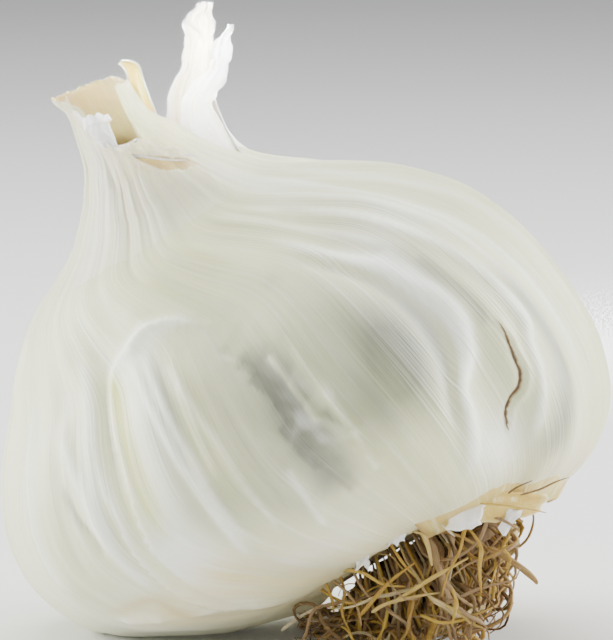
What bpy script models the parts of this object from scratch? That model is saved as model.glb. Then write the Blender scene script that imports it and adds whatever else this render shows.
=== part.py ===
"""Garlic bulb, leaning on one low clove and on its root tuft.

Everything is laid out in the bulb's own frame: its origin is the middle of the basal
plate, +Z runs along the bulb to its neck, +X to the side that leans up and +Y to the
back. The stand empty leans that frame over, so that world Z = 0 is the surface that
the bulb rests on and the world origin is in the middle under it.
"""

import math
import random

import bmesh
import bpy
from mathutils import Matrix, Vector

MM = 0.001

# How the bulb stands
LEAN = math.radians(30.0)
PLATE_PLACE = Vector((11.9, 0.0, 7.45)) * MM

# Outlines of the wrapped bulb on its low and its high side, from the root hollow up to
# the neck: distance from the basal plate's axis and height above the plate, millimetres
LOW_SIDE = (
    (9.9, 2.2),
    (11.7, 1.4),
    (15.4, 2.1),
    (20.6, 3.5),
    (25.6, 5.7),
    (29.9, 8.2),
    (33.0, 11.8),
    (34.9, 17.0),
    (34.6, 22.6),
    (31.9, 28.2),
    (28.0, 32.6),
    (24.8, 36.2),
    (21.0, 39.6),
    (14.4, 43.2),
    (10.2, 46.0),
)
HIGH_SIDE = (
    (9.9, 2.2),
    (12.0, 0.5),
    (15.8, 0.2),
    (19.9, 1.7),
    (22.9, 4.4),
    (24.8, 7.8),
    (25.8, 12.4),
    (25.5, 19.0),
    (24.1, 25.0),
    (21.3, 30.4),
    (17.0, 34.7),
    (12.0, 37.8),
    (7.4, 40.5),
    (4.4, 43.3),
    (2.4, 46.0),
)
DEPTH_SHARE = 0.97

# The front's underside is drawn up over the roots: outward and upward, by the rows above
FRONT_TUCK = (
    (0.0, 2.8),
    (-0.25, 3.95),
    (-0.7, 4.25),
    (-1.25, 4.0),
    (-1.35, 3.75),
    (-1.05, 3.6),
    (-0.6, 2.9),
    (0.0, 1.2),
) + ((0.0, 0.0),) * 7
TUCK_SHARPNESS = 1.5

# Grooves between the cloves: turn about the axis in degrees, depth in millimetres
GROOVES = (
    (-163.0, 1.0),
    (-119.0, 1.5),
    (-84.0, 0.9),
    (-49.0, 1.4),
    (-20.0, 1.0),
    (18.0, 1.3),
    (62.0, 1.7),
    (108.0, 1.5),
    (152.0, 1.2),
)
GROOVE_SHARPNESS = 1.5
PLEATS = 17
PLEAT_DEPTH = 0.16 * MM
SLOPE_STEP = 0.01

# The neck: a tube of skin that ends in a torn rim, high at the back and the low side
MOUTH_RADIUS = 3.9 * MM
MOUTH_X = -4.4 * MM
RIM_HEIGHT = 51.8 * MM
RIM_SLANT = 4.7 * MM
RIM_SLANT_TURN = math.radians(122.0)
TIP_TURN = math.radians(170.0)
TIP_HEIGHT = 2.6 * MM
TIP_WIDTH = math.radians(17.0)
RIM_TEARS = ((5.0, 1.0, 0.35 * MM), (12.0, 0.0, 0.25 * MM))
NECK_PULL = 1.6
NECK_WALL = 0.9 * MM
MOUTH_DEPTH_SHARE = 0.25

# Sheets of dry skin
GAP = 0.6 * MM
SHEET = 0.65 * MM
SHEATH_FROM = math.radians(-158.0)
SHEATH_TO = math.radians(-42.0)
SHEATH_FOOT = 0.96
SHEATH_TOP = 1.86
SHEATH_DROP = 0.42
SHEATH_TEAR = 0.05
TAB_MIDDLE = 0.45
TAB_WIDTH = 0.12
TAB_RISE = 0.25
TAB_LIFT = 0.7 * MM
BASE_SKIN_FROM = math.radians(-78.0)
BASE_SKIN_TO = math.radians(64.0)
BASE_SKIN_TOP = 0.155
BASE_SKIN_RUN = 0.075
BASE_SKIN_TEAR = 0.02
BASE_SKIN_FLARE = 0.2 * MM
GOLDEN_FROM = math.radians(66.0)
GOLDEN_WIDTH = math.radians(20.0)
GOLDEN_TAPER = math.radians(8.0)
GOLDEN_FOOT = 1.3
GOLDEN_RUN = 0.92
GOLDEN_HOOK = 0.9 * MM

# The tall leaf, above the resting surface: height, left edge, right edge, depth
TALL_LEAF = (
    (47.8, -13.8, -6.6, 0.3),
    (49.6, -13.6, -8.5, 0.8),
    (51.6, -13.4, -8.9, 1.0),
    (53.6, -12.7, -7.8, 1.1),
    (55.6, -12.0, -7.3, 1.1),
    (57.6, -11.7, -7.0, 1.0),
    (59.6, -11.4, -7.2, 0.9),
    (61.6, -10.7, -7.6, 0.8),
)
LEAF_FOOT_FROM = math.radians(50.0)
LEAF_FOOT_TO = math.radians(-16.0)
LEAF_FOOT_SHARE = 0.97
LEAF_FOOT_SLANT = 0.06
LEAF_FOOT_RUN = 0.3
LEAF_HOLLOW = 1.1
LEAF_TWIST = 5.0
TALL_LEAF_TIPS = ((0.0, 0.86), (0.34, 1.0), (0.62, 0.74), (0.74, 0.72), (0.9, 0.86), (1.0, 0.8))

# The basal plate and its roots
PLATE_RADIUS = 9.3 * MM
PLATE_TOP = 1.8 * MM
PLATE_BOTTOM = -0.3 * MM
TUFT_TOP = -3.0 * MM
TUFT_BOX = (
    (-1.0 * MM, 21.0 * MM),
    (-10.8 * MM, 10.8 * MM),
    (-2.0 * MM, 13.0 * MM),
)
ROOT_COUNT = 58
ROOT_STEPS = (5, 8)
ROOT_RADIUS = 0.5 * MM
ROOT_REST = 0.3 * MM
ROOT_STEP = 2.0 * MM
ROOT_BEND = 0.8
ROOT_SIDES = 3
ROOT_SEED = 12
ROOT_REACH = 8.2 * MM
ROOT_STEM = ((1.0, 0.3), (1.02, -1.4), (1.06, -2.7))
ROOT_TAPER = 0.45

BULB_TURNS = 80
BODY_RINGS = 23
NECK_RINGS = 5


def smooth_step(low, high, x):
    t = min(1.0, max(0.0, (x - low) / (high - low)))
    return t * t * (3.0 - 2.0 * t)


def along_curve(points, share):
    """The point at this share, 0 to 1, of a smooth curve through the points."""
    place = min(max(share, 0.0), 1.0) * (len(points) - 1)
    i = min(int(place), len(points) - 2)
    t = place - i
    before, start, end, after = (
        Vector(points[min(max(k, 0), len(points) - 1)]) for k in range(i - 1, i + 3)
    )
    return 0.5 * (
        2.0 * start
        + (end - before) * t
        + (2.0 * before - 5.0 * start + 4.0 * end - after) * t**2
        + (3.0 * start - before - 3.0 * end + after) * t**3
    )


def along_line(points, x):
    """Height at x of the straight runs between (x, height) points."""
    for (x0, y0), (x1, y1) in zip(points, points[1:]):
        if x <= x1:
            return y0 + (y1 - y0) * (x - x0) / (x1 - x0)
    return points[-1][1]


def groove_depth(turn):
    """Depth of the skin below the cloves' crests at this turn."""
    first = GROOVES[0][0]
    degrees = (math.degrees(turn) - first) % 360.0 + first
    around = GROOVES + ((first + 360.0, GROOVES[0][1]),)
    for (low, low_depth), (high, high_depth) in zip(around, around[1:]):
        if degrees <= high:
            across = (degrees - low) / (high - low)
            rounding = (0.5 + 0.5 * math.cos(2.0 * math.pi * across)) ** GROOVE_SHARPNESS
            return (low_depth + (high_depth - low_depth) * across) * rounding * MM
    return 0.0


def skin_point(turn, share):
    """A point of the wrapped cloves' skin, from the root hollow (0) to the neck (1)."""
    low = along_curve(LOW_SIDE, share) * MM
    high = along_curve(HIGH_SIDE, share) * MM
    radius, height = 0.5 * (low.x + high.x), 0.5 * (low.y + high.y)
    above, below = share + SLOPE_STEP, share - SLOPE_STEP
    run = along_curve(LOW_SIDE, above) - along_curve(LOW_SIDE, below)
    run += along_curve(HIGH_SIDE, above) - along_curve(HIGH_SIDE, below)
    outward = Vector((run.y, -run.x)).normalized()
    lobes = smooth_step(0.1, 0.36, share) * (1.0 - smooth_step(0.66, 0.88, share))
    pleats = smooth_step(0.7, 0.9, share) * PLEAT_DEPTH * math.sin(PLEATS * turn)
    lift = pleats - groove_depth(turn) * lobes
    tuck = along_curve(FRONT_TUCK, share) * MM * max(0.0, -math.sin(turn)) ** TUCK_SHARPNESS
    radius += lift * outward.x + tuck.x
    height += lift * outward.y + tuck.y
    return Vector(
        (
            0.5 * (high.x - low.x) + radius * math.cos(turn),
            radius * DEPTH_SHARE * math.sin(turn),
            height + 0.5 * (high.y - low.y) * math.cos(turn),
        )
    )


def rim_height(turn):
    """Height of the neck's torn rim at this turn."""
    from_tip = (turn - TIP_TURN + math.pi) % (2.0 * math.pi) - math.pi
    tip = TIP_HEIGHT * math.exp(-((from_tip / TIP_WIDTH) ** 2))
    tears = sum(size * math.sin(waves * turn + start) for waves, start, size in RIM_TEARS)
    return RIM_HEIGHT + RIM_SLANT * math.cos(turn - RIM_SLANT_TURN) + tip + tears


def neck_point(turn, up, inset=0.0):
    """A point of the neck's tube, from its foot (0) to the torn rim (1)."""
    foot = skin_point(turn, 1.0)
    pull = 1.0 - (1.0 - min(up, 1.0)) ** NECK_PULL
    radius = MOUTH_RADIUS - inset + PLEAT_DEPTH * (1.0 - up) * math.sin(PLEATS * turn)
    mouth = Vector(
        (
            MOUTH_X + radius * math.cos(turn),
            radius * math.sin(turn),
            rim_height(turn),
        )
    )
    inside = Vector((math.cos(turn), math.sin(turn), 0.0)) * inset
    point = (foot - inside).lerp(mouth, pull)
    point.z = foot.z + (mouth.z - foot.z) * up
    return point


def wrap_point(turn, share, lift=0.0):
    """A point lifted off the skin: share 0 to 1 is the body, 1 to 2 the neck's tube."""
    if lift == 0.0:
        return skin_point(turn, share) if share < 1.0 else neck_point(turn, share - 1.0)
    step = 0.02
    along = wrap_point(turn, share + step) - wrap_point(turn, share - step)
    around = wrap_point(turn + 10.0 * step, share) - wrap_point(turn - 10.0 * step, share)
    return wrap_point(turn, share) + around.cross(along).normalized() * lift


def stand_matrix():
    return Matrix.Translation(PLATE_PLACE) @ Matrix.Rotation(-LEAN, 4, "Y")


def material(name, colour, roughness):
    made = bpy.data.materials.new(name)
    made.use_nodes = True
    shader = made.node_tree.nodes["Principled BSDF"]
    shader.inputs["Base Color"].default_value = (*colour, 1.0)
    shader.inputs["Roughness"].default_value = roughness
    shader.inputs["Metallic"].default_value = 0.0
    return made


def add_object(name, bm, finish, stand):
    mesh = bpy.data.meshes.new(name)
    bm.to_mesh(mesh)
    bm.free()
    mesh.materials.append(finish)
    mesh.shade_smooth()
    made = bpy.data.objects.new(name, mesh)
    bpy.context.scene.collection.objects.link(made)
    made.parent = stand
    return made


def join_rings(bm, rings):
    """Quads between neighbouring rings of points, and a face over each end."""
    for lower, upper in zip(rings, rings[1:]):
        for i in range(len(lower)):
            k = (i + 1) % len(lower)
            bm.faces.new((lower[i], lower[k], upper[k], upper[i]))
    bm.faces.new(reversed(rings[0]))
    bm.faces.new(rings[-1])


def cut_level(bm):
    """Cuts the small flat spot that the low clove rests on."""
    upright = stand_matrix().inverted()
    down = upright.to_3x3() @ Vector((0.0, 0.0, -1.0))
    cut = bmesh.ops.bisect_plane(
        bm,
        geom=bm.verts[:] + bm.edges[:] + bm.faces[:],
        dist=1e-6,
        plane_co=upright @ Vector((0.0, 0.0, 0.0)),
        plane_no=down,
        clear_outer=True,
    )
    edges = [item for item in cut["geom_cut"] if isinstance(item, bmesh.types.BMEdge)]
    bmesh.ops.contextual_create(bm, geom=edges)


def make_bulb(finish, stand):
    """Cloves in their closed skins, drawn up into the neck's open tube."""
    bm = bmesh.new()
    turns = [2.0 * math.pi * i / BULB_TURNS for i in range(BULB_TURNS)]
    body = [[skin_point(turn, j / BODY_RINGS) for turn in turns] for j in range(BODY_RINGS + 1)]
    outer = [
        [neck_point(turn, j / NECK_RINGS) for turn in turns] for j in range(1, NECK_RINGS + 1)
    ]
    depths = [1.0 - (1.0 - MOUTH_DEPTH_SHARE) * j / NECK_RINGS for j in range(NECK_RINGS + 1)]
    inner = [[neck_point(turn, up, NECK_WALL) for turn in turns] for up in depths]
    rings = [[bm.verts.new(point) for point in ring] for ring in body + outer + inner]
    join_rings(bm, rings)
    cut_level(bm)
    bmesh.ops.recalc_face_normals(bm, faces=bm.faces)
    return add_object("bulb", bm, finish, stand)


def make_sheet(name, columns, rows, place, finish, stand):
    """A thin closed sheet: place gives the point at each share across and along it."""
    bm = bmesh.new()
    bmesh.ops.create_grid(bm, x_segments=columns, y_segments=rows, size=0.5)
    for vert in bm.verts:
        vert.co = place(vert.co.x + 0.5, vert.co.y + 0.5)
    bmesh.ops.triangulate(bm, faces=bm.faces)
    bmesh.ops.solidify(bm, geom=bm.faces[:], thickness=SHEET)
    bmesh.ops.recalc_face_normals(bm, faces=bm.faces)
    return add_object(name, bm, finish, stand)


def sheath_place(across, along):
    """The torn outer skin round the front of the neck, with its folded tab."""
    turn = SHEATH_FROM + (SHEATH_TO - SHEATH_FROM) * across
    tab = math.exp(-(((across - TAB_MIDDLE) / TAB_WIDTH) ** 2))
    top = SHEATH_TOP - SHEATH_DROP * smooth_step(0.4, 0.95, across)
    top += SHEATH_TEAR * math.sin(25.0 * across) + TAB_RISE * tab
    share = SHEATH_FOOT + (top - SHEATH_FOOT) * along
    return wrap_point(turn, share, GAP + SHEET + TAB_LIFT * tab * along**3)


def tall_leaf_place(across, along):
    """The forked dry leaf that stands behind the high side of the neck."""
    share = along * along_line(TALL_LEAF_TIPS, across)
    height, left, right, depth = along_curve(TALL_LEAF, share)
    hollow = LEAF_HOLLOW * math.sin(math.pi * across) * (1.0 - 0.6 * share)
    twist = LEAF_TWIST * (0.5 - across) * (1.0 - share) ** 2
    free = Vector((left + (right - left) * across, depth + hollow + twist, height)) * MM
    free = stand_matrix().inverted() @ free
    turn = LEAF_FOOT_FROM + (LEAF_FOOT_TO - LEAF_FOOT_FROM) * across
    foot = wrap_point(turn, LEAF_FOOT_SHARE - LEAF_FOOT_SLANT * across, GAP + SHEET)
    return foot.lerp(free, smooth_step(0.0, LEAF_FOOT_RUN, along))


def golden_leaf_place(across, along):
    """The slim golden leaf behind the neck, hooked to the low side at its tip."""
    turn = GOLDEN_FROM - (GOLDEN_WIDTH - GOLDEN_TAPER * along) * across
    hook = Vector((-GOLDEN_HOOK * smooth_step(0.85, 1.0, along), 0.0, 0.0))
    return wrap_point(turn, GOLDEN_FOOT + GOLDEN_RUN * along, GAP + SHEET) + hook


def base_skin_place(across, along):
    """The loose torn skin that hangs round the root end."""
    turn = BASE_SKIN_FROM + (BASE_SKIN_TO - BASE_SKIN_FROM) * across
    tear = 0.6 * math.sin(23.0 * across) + 0.4 * math.sin(51.0 * across + 1.0)
    share = BASE_SKIN_TOP - (BASE_SKIN_RUN + BASE_SKIN_TEAR * tear) * along
    return wrap_point(turn, share, GAP + SHEET + BASE_SKIN_FLARE * tear * along**2)


def root_path(rng):
    """One dry root: down from the plate, then in loose bends through the tuft."""
    stand = stand_matrix()
    reach = ROOT_REACH * math.sqrt(rng.random())
    angle = rng.uniform(0.0, 2.0 * math.pi)
    side = Vector((math.cos(angle), math.sin(angle), 0.0))
    points = [
        stand @ (side * reach * spread + Vector((0.0, 0.0, height * MM)))
        for spread, height in ROOT_STEM
    ]
    heading = stand.to_3x3() @ (side * rng.uniform(0.0, 0.8) + Vector((0.0, 0.0, -1.0)))
    for _ in range(rng.randint(*ROOT_STEPS)):
        bend = Vector([rng.uniform(-1.0, 1.0) for _ in range(3)])
        heading = (heading.normalized() + ROOT_BEND * bend + turn_back(points[-1])).normalized()
        place = points[-1] + heading * ROOT_STEP
        place.z = max(place.z, ROOT_REST)
        points.append(place)
    return points


def turn_back(place):
    """The pull that keeps a root's end inside the tuft's own space."""
    pull = Vector((0.0, 0.0, 0.0))
    for i, (low, high) in enumerate(TUFT_BOX):
        if place[i] < low + ROOT_STEP:
            pull[i] = 1.0
        if place[i] > high - ROOT_STEP:
            pull[i] = -1.0
    if (stand_matrix().inverted() @ place).z > TUFT_TOP:
        pull += Vector((0.2, 0.0, -1.0))
    return pull


def make_strand(name, points, radii):
    """A thin closed strand through the points, thinner towards its end."""
    bm = bmesh.new()
    rings = []
    across = Vector((0.0, 1.0, 0.0))
    for i, point in enumerate(points):
        ahead = points[min(i + 1, len(points) - 1)] - points[max(i - 1, 0)]
        across = (across - across.project(ahead)).normalized()
        rise = ahead.cross(across).normalized()
        ring = []
        for k in range(ROOT_SIDES):
            turn = 2.0 * math.pi * k / ROOT_SIDES
            around = point + (across * math.cos(turn) + rise * math.sin(turn)) * radii[i]
            around.z = max(around.z, 0.0)
            ring.append(bm.verts.new(around))
        rings.append(ring)
    join_rings(bm, rings)
    bmesh.ops.recalc_face_normals(bm, faces=bm.faces)
    mesh = bpy.data.meshes.new(name)
    bm.to_mesh(mesh)
    bm.free()
    return bpy.data.objects.new(name, mesh)


def make_root_tuft(finish, stand):
    """The basal plate with its roots, joined in one body by one union."""
    bm = bmesh.new()
    bmesh.ops.create_cone(
        bm,
        segments=40,
        cap_ends=True,
        radius1=PLATE_RADIUS,
        radius2=PLATE_RADIUS,
        depth=PLATE_TOP - PLATE_BOTTOM,
        matrix=Matrix.Translation((0.0, 0.0, 0.5 * (PLATE_TOP + PLATE_BOTTOM))),
    )
    tuft = add_object("root_tuft", bm, finish, stand)
    strands = bpy.data.collections.new("strands")
    bpy.context.scene.collection.children.link(strands)
    rng = random.Random(ROOT_SEED)
    for i in range(ROOT_COUNT):
        points = root_path(rng)
        last = len(points) - 1
        radii = [ROOT_RADIUS * (1.0 - ROOT_TAPER * k / last) for k in range(len(points))]
        strands.objects.link(make_strand(f"strand_{i}", points, radii))
    union = tuft.modifiers.new("roots", "BOOLEAN")
    union.operation = "UNION"
    union.operand_type = "COLLECTION"
    union.collection = strands
    union.solver = "MANIFOLD"
    apply_modifiers(tuft)
    for strand in list(strands.objects):
        bpy.data.objects.remove(strand)
    bpy.data.collections.remove(strands)
    fill_hollows(tuft)
    return tuft


def apply_modifiers(made):
    """Puts the evaluated mesh in the object's place and drops its modifiers."""
    bpy.context.view_layer.update()
    graph = bpy.context.evaluated_depsgraph_get()
    mesh = bpy.data.meshes.new_from_object(made.evaluated_get(graph))
    made.modifiers.clear()
    old = made.data
    made.data = mesh
    bpy.data.meshes.remove(old)


def fill_hollows(made):
    """Drops the small closed shells that the crossing roots seal inside the tuft."""
    bm = bmesh.new()
    bm.from_mesh(made.data)
    left = set(bm.faces)
    shells = []
    while left:
        shell, front = [], [left.pop()]
        while front:
            face = front.pop()
            shell.append(face)
            near = {other for edge in face.edges for other in edge.link_faces} & left
            left -= near
            front.extend(near)
        shells.append(shell)
    shells.sort(key=len)
    for shell in shells[:-1]:
        bmesh.ops.delete(bm, geom=shell, context="FACES")
    bm.to_mesh(made.data)
    bm.free()


def main():
    for old in list(bpy.data.objects):
        bpy.data.objects.remove(old)
    stand = bpy.data.objects.new("stand", None)
    bpy.context.scene.collection.objects.link(stand)
    stand.matrix_world = stand_matrix()

    skin = material("dry_skin", (0.86, 0.85, 0.79), 0.5)
    sheath = material("torn_skin", (0.84, 0.79, 0.68), 0.6)
    leaf = material("dry_leaf", (0.86, 0.82, 0.68), 0.6)
    gold = material("golden_leaf", (0.83, 0.66, 0.3), 0.55)
    husk = material("tan_husk", (0.76, 0.66, 0.42), 0.65)
    root = material("dry_root", (0.36, 0.25, 0.13), 0.85)

    make_bulb(skin, stand)
    make_sheet("neck_sheath", 36, 6, sheath_place, sheath, stand)
    make_sheet("tall_leaf", 14, 16, tall_leaf_place, leaf, stand)
    make_sheet("golden_leaf", 3, 9, golden_leaf_place, gold, stand)
    make_sheet("base_skin", 40, 3, base_skin_place, husk, stand)
    make_root_tuft(root, stand)


main()
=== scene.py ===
# Garlic bulb: papery skins, torn neck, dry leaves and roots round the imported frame
import math
import random

import bmesh
import bpy
import numpy as np
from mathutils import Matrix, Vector


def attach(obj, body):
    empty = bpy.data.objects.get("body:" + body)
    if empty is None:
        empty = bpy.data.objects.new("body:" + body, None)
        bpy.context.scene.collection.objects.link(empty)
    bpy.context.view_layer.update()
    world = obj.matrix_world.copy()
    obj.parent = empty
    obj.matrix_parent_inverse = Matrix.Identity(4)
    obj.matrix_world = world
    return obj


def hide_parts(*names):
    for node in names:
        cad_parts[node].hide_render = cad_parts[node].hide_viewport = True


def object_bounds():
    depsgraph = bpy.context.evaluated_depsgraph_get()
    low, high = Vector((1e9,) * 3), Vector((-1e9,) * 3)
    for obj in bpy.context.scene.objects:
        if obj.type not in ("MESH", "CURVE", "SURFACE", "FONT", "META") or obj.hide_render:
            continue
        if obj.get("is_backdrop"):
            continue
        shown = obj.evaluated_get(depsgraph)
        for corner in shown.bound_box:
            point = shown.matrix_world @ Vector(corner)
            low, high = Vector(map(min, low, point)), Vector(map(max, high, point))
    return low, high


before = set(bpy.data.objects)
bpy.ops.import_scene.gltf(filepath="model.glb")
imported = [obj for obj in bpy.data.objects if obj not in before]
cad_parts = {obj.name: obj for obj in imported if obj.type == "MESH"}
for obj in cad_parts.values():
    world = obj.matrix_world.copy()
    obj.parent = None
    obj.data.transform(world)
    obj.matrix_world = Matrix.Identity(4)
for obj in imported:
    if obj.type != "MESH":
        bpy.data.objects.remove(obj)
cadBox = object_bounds()
print("frame loaded:", ", ".join(sorted(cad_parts)))

mm = 0.001

# ---- The bulb's own shape: millimetres, turns in degrees (-90 faces the camera, 0 is the high side)
bulbForm = {
    "lean": 30.0,
    "platePlace": (11.9, 0.0, 7.45),
    "lowSide": (
        (9.9, 2.2), (11.7, 1.4), (15.4, 2.1), (20.6, 3.5), (25.6, 5.7), (29.9, 8.2), (33.0, 11.8),
        (34.9, 17.0), (34.6, 22.6), (31.9, 28.2), (28.0, 32.6), (24.8, 36.2), (21.0, 39.6),
        (14.4, 43.2), (10.2, 46.0),
    ),
    "highSide": (
        (9.9, 2.2), (12.0, 0.5), (15.8, 0.2), (19.9, 1.7), (22.9, 4.4), (24.8, 7.8), (25.8, 12.4),
        (25.5, 19.0), (24.1, 25.0), (21.3, 30.4), (17.0, 34.7), (12.0, 37.8), (7.4, 40.5),
        (4.4, 43.3), (2.4, 46.0),
    ),
    "depthShare": 0.97,
    "frontTuck": (  # outward and upward, by the rows above: the front's underside is drawn up
        (0.0, 2.8), (-0.25, 3.95), (-0.7, 4.25), (-1.25, 4.0), (-1.35, 3.75), (-1.05, 3.6),
        (-0.6, 2.9), (0.0, 1.2), (0.0, 0.0), (0.0, 0.0), (0.0, 0.0), (0.0, 0.0), (0.0, 0.0),
        (0.0, 0.0), (0.0, 0.0),
    ),
    "tuckSharpness": 1.5,
    "grooves": (
        (-163.0, 1.0), (-119.0, 1.5), (-84.0, 0.9), (-49.0, 1.4), (-20.0, 1.0), (18.0, 1.3),
        (62.0, 1.7), (108.0, 1.5), (152.0, 1.2),
    ),
    "grooveSharpness": 1.5,
    "neck": (  # height, middle, radius
        (46.0, -3.9, 6.3), (47.3, -4.5, 5.25), (48.8, -4.9, 4.35), (50.3, -5.15, 3.75),
        (52.0, -5.15, 3.4), (53.5, -5.05, 3.15), (55.0, -4.95, 2.95), (57.5, -4.9, 2.85),
    ),
    "rim": (  # turn and height of the torn rim; a window is torn out of its front
        (-180, 57.0), (-168, 57.3), (-154, 56.9), (-140, 55.9), (-130, 54.9), (-122, 53.3), (-114, 50.9),
        (-106, 49.6),
        (-90, 49.2), (-74, 49.4), (-66, 50.0), (-60, 51.4), (-55, 53.6), (-50, 55.3), (-40, 55.5),
        (-20, 55.0), (0, 54.9), (20, 55.2), (45, 55.7), (72, 56.1), (95, 56.3), (120, 56.6),
        (150, 56.7), (166, 56.8), (180, 57.0),
    ),
    "footRun": 3.2,
    "shareRun": 60.0,       # millimetres of skin for one share, near the neck
    "easeReach": 4.5,
    "easeFrom": 2.0,
    "easeTo": 8.0,
    "tipTurn": -160.0,
    "tipFlare": 1.5,
    "tipWidth": 20.0,
    "tipRun": (0.68, 1.0),
    "fibreTwist": 24.0,     # the skin's fibres turn by this much from the neck down to the shoulder
    "fibreRun": (0.68, 1.0),
    "lobeRise": (0.1, 0.36),    # shares where the grooves between the cloves begin and end
    "lobeFade": (0.66, 0.88),
    "slopeStep": 0.01,
    "outwardStep": (4.0, 0.015),    # degrees and share
    "rimTears": ((0.16, 64.0, 0.0, 5), (0.13, 192.0, 3.5, 6)),  # size, waves, row and seed
}


def smoothStep(low, high, x):
    t = np.clip((x - low) / (high - low), 0.0, 1.0)
    return t * t * (3.0 - 2.0 * t)


def hump(x, centre, width):
    return np.exp(-(((x - centre) / width) ** 2))


def smoothCurve(points, samples=1200):
    # a smooth curve through the points, read evenly from the first to the last
    p = np.array(points, float)
    place = np.linspace(0, len(p) - 1, samples)
    i = np.minimum(place.astype(int), len(p) - 2)
    t = (place - i)[:, None]
    before, start, end, after = (p[np.clip(i + k, 0, len(p) - 1)] for k in (-1, 0, 1, 2))
    return 0.5 * (
        2.0 * start
        + (end - before) * t
        + (2.0 * before - 5.0 * start + 4.0 * end - after) * t**2
        + (3.0 * start - before - 3.0 * end + after) * t**3
    )


def readCurve(table, share):
    at = np.clip(share, 0.0, 1.0) * (len(table) - 1)
    steps = np.arange(len(table))
    return np.stack([np.interp(at, steps, table[:, c]) for c in range(table.shape[1])], axis=-1)


def softNoise(x, y, seed, rounded=True):
    # noise from -1 to 1 over unit squares; it repeats every 64 squares
    lattice = np.random.default_rng(seed).uniform(-1.0, 1.0, (64, 64))
    ix, iy = np.floor(x).astype(int), np.floor(y).astype(int)
    fx, fy = x - ix, y - iy
    if rounded:
        fx, fy = fx * fx * (3.0 - 2.0 * fx), fy * fy * (3.0 - 2.0 * fy)
    low = lattice[ix % 64, iy % 64] * (1 - fx) + lattice[(ix + 1) % 64, iy % 64] * fx
    high = lattice[ix % 64, (iy + 1) % 64] * (1 - fx) + lattice[(ix + 1) % 64, (iy + 1) % 64] * fx
    return low * (1 - fy) + high * fy


def normalised(v):
    return v / np.maximum(np.linalg.norm(v, axis=-1, keepdims=True), 1e-12)


lowTable = smoothCurve(bulbForm["lowSide"])
highTable = smoothCurve(bulbForm["highSide"])
tuckTable = smoothCurve(bulbForm["frontTuck"])
rimTable = np.array(bulbForm["rim"], float)
neckTable = np.array(bulbForm["neck"], float)
leanTurn = math.radians(bulbForm["lean"])
platePlace = np.array(bulbForm["platePlace"])


def toWorld(points):
    # from the bulb's own frame to the row frame, both in millimetres
    x, y, z = points[..., 0], points[..., 1], points[..., 2]
    c, s = math.cos(leanTurn), math.sin(leanTurn)
    return np.stack((c * x - s * z, y, s * x + c * z), axis=-1) + platePlace


def toBulb(points):
    moved = points - platePlace
    x, y, z = moved[..., 0], moved[..., 1], moved[..., 2]
    c, s = math.cos(leanTurn), math.sin(leanTurn)
    return np.stack((c * x + s * z, y, -s * x + c * z), axis=-1)


def grooveDepth(turn):
    grooves = np.array(bulbForm["grooves"])
    first = grooves[0, 0]
    degrees = (turn - first) % 360.0 + first
    around = np.vstack((grooves, (first + 360.0, grooves[0, 1])))
    i = np.clip(np.searchsorted(around[:, 0], degrees, side="right") - 1, 0, len(around) - 2)
    across = (degrees - around[i, 0]) / (around[i + 1, 0] - around[i, 0])
    rounding = (0.5 + 0.5 * np.cos(2.0 * np.pi * across)) ** bulbForm["grooveSharpness"]
    return (around[i, 1] + (around[i + 1, 1] - around[i, 1]) * across) * rounding


def skinPoint(turn, share):
    # the wrapped cloves, from the root hollow (0) to the foot of the neck (1)
    angle = np.radians(turn)
    low, high = readCurve(lowTable, share), readCurve(highTable, share)
    radius, height = 0.5 * (low + high)[..., 0], 0.5 * (low + high)[..., 1]
    step = bulbForm["slopeStep"]
    run = readCurve(lowTable, share + step) - readCurve(lowTable, share - step)
    run = run + readCurve(highTable, share + step) - readCurve(highTable, share - step)
    out = normalised(np.stack((run[..., 1], -run[..., 0]), axis=-1))
    lobes = smoothStep(*bulbForm["lobeRise"], share) * (1.0 - smoothStep(*bulbForm["lobeFade"], share))
    lift = -grooveDepth(turn) * lobes
    tuck = readCurve(tuckTable, share)
    tucked = np.clip(-np.sin(angle), 0.0, 1.0) ** bulbForm["tuckSharpness"]
    radius = radius + lift * out[..., 0] + tuck[..., 0] * tucked
    height = height + lift * out[..., 1] + tuck[..., 1] * tucked
    return np.stack(
        (
            0.5 * (high[..., 0] - low[..., 0]) + radius * np.cos(angle),
            radius * bulbForm["depthShare"] * np.sin(angle),
            height + 0.5 * (high[..., 1] - low[..., 1]) * np.cos(angle),
        ),
        axis=-1,
    )


def rimHeight(turn):
    wrapped = (turn + 180.0) % 360.0 - 180.0
    smooth = np.interp(wrapped, rimTable[:, 0], rimTable[:, 1])
    return smooth + sum(
        size * softNoise(wrapped / 360.0 * waves, row, seed)
        for size, waves, row, seed in bulbForm["rimTears"]
    )


def neckAt(turn, height, lift):
    # a point of the neck's outside at this height above the basal plate, moved out by lift
    angle = np.radians(turn)
    middle = np.interp(height, neckTable[:, 0], neckTable[:, 1])
    radius = np.interp(height, neckTable[:, 0], neckTable[:, 2]) + lift
    upright = np.zeros_like(angle) + height
    return np.stack((middle + radius * np.cos(angle), radius * np.sin(angle), upright), axis=-1)


def collarPoint(turn, height, lift):
    # the neck's outside at this height, eased into the shoulder at its foot
    foot = skinPoint(turn, np.ones_like(turn))
    flat = neckAt(turn, foot[..., 2], 0.0)
    blend = 1.0 - smoothStep(0.0, bulbForm["footRun"], height - foot[..., 2])
    return neckAt(turn, height, lift) + (foot - flat) * blend[..., None]


def neckPoint(turn, up, inset=0.0):
    # the neck's tube, from its foot (0) to the torn rim (1)
    foot = skinPoint(turn, np.ones_like(turn))[..., 2]
    fromTip = (turn - bulbForm["tipTurn"] + 180.0) % 360.0 - 180.0
    flare = bulbForm["tipFlare"] * hump(fromTip, 0.0, bulbForm["tipWidth"])
    flare = flare * smoothStep(*bulbForm["tipRun"], up)
    return collarPoint(turn, foot + (rimHeight(turn) - foot) * up, flare - inset)


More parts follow.
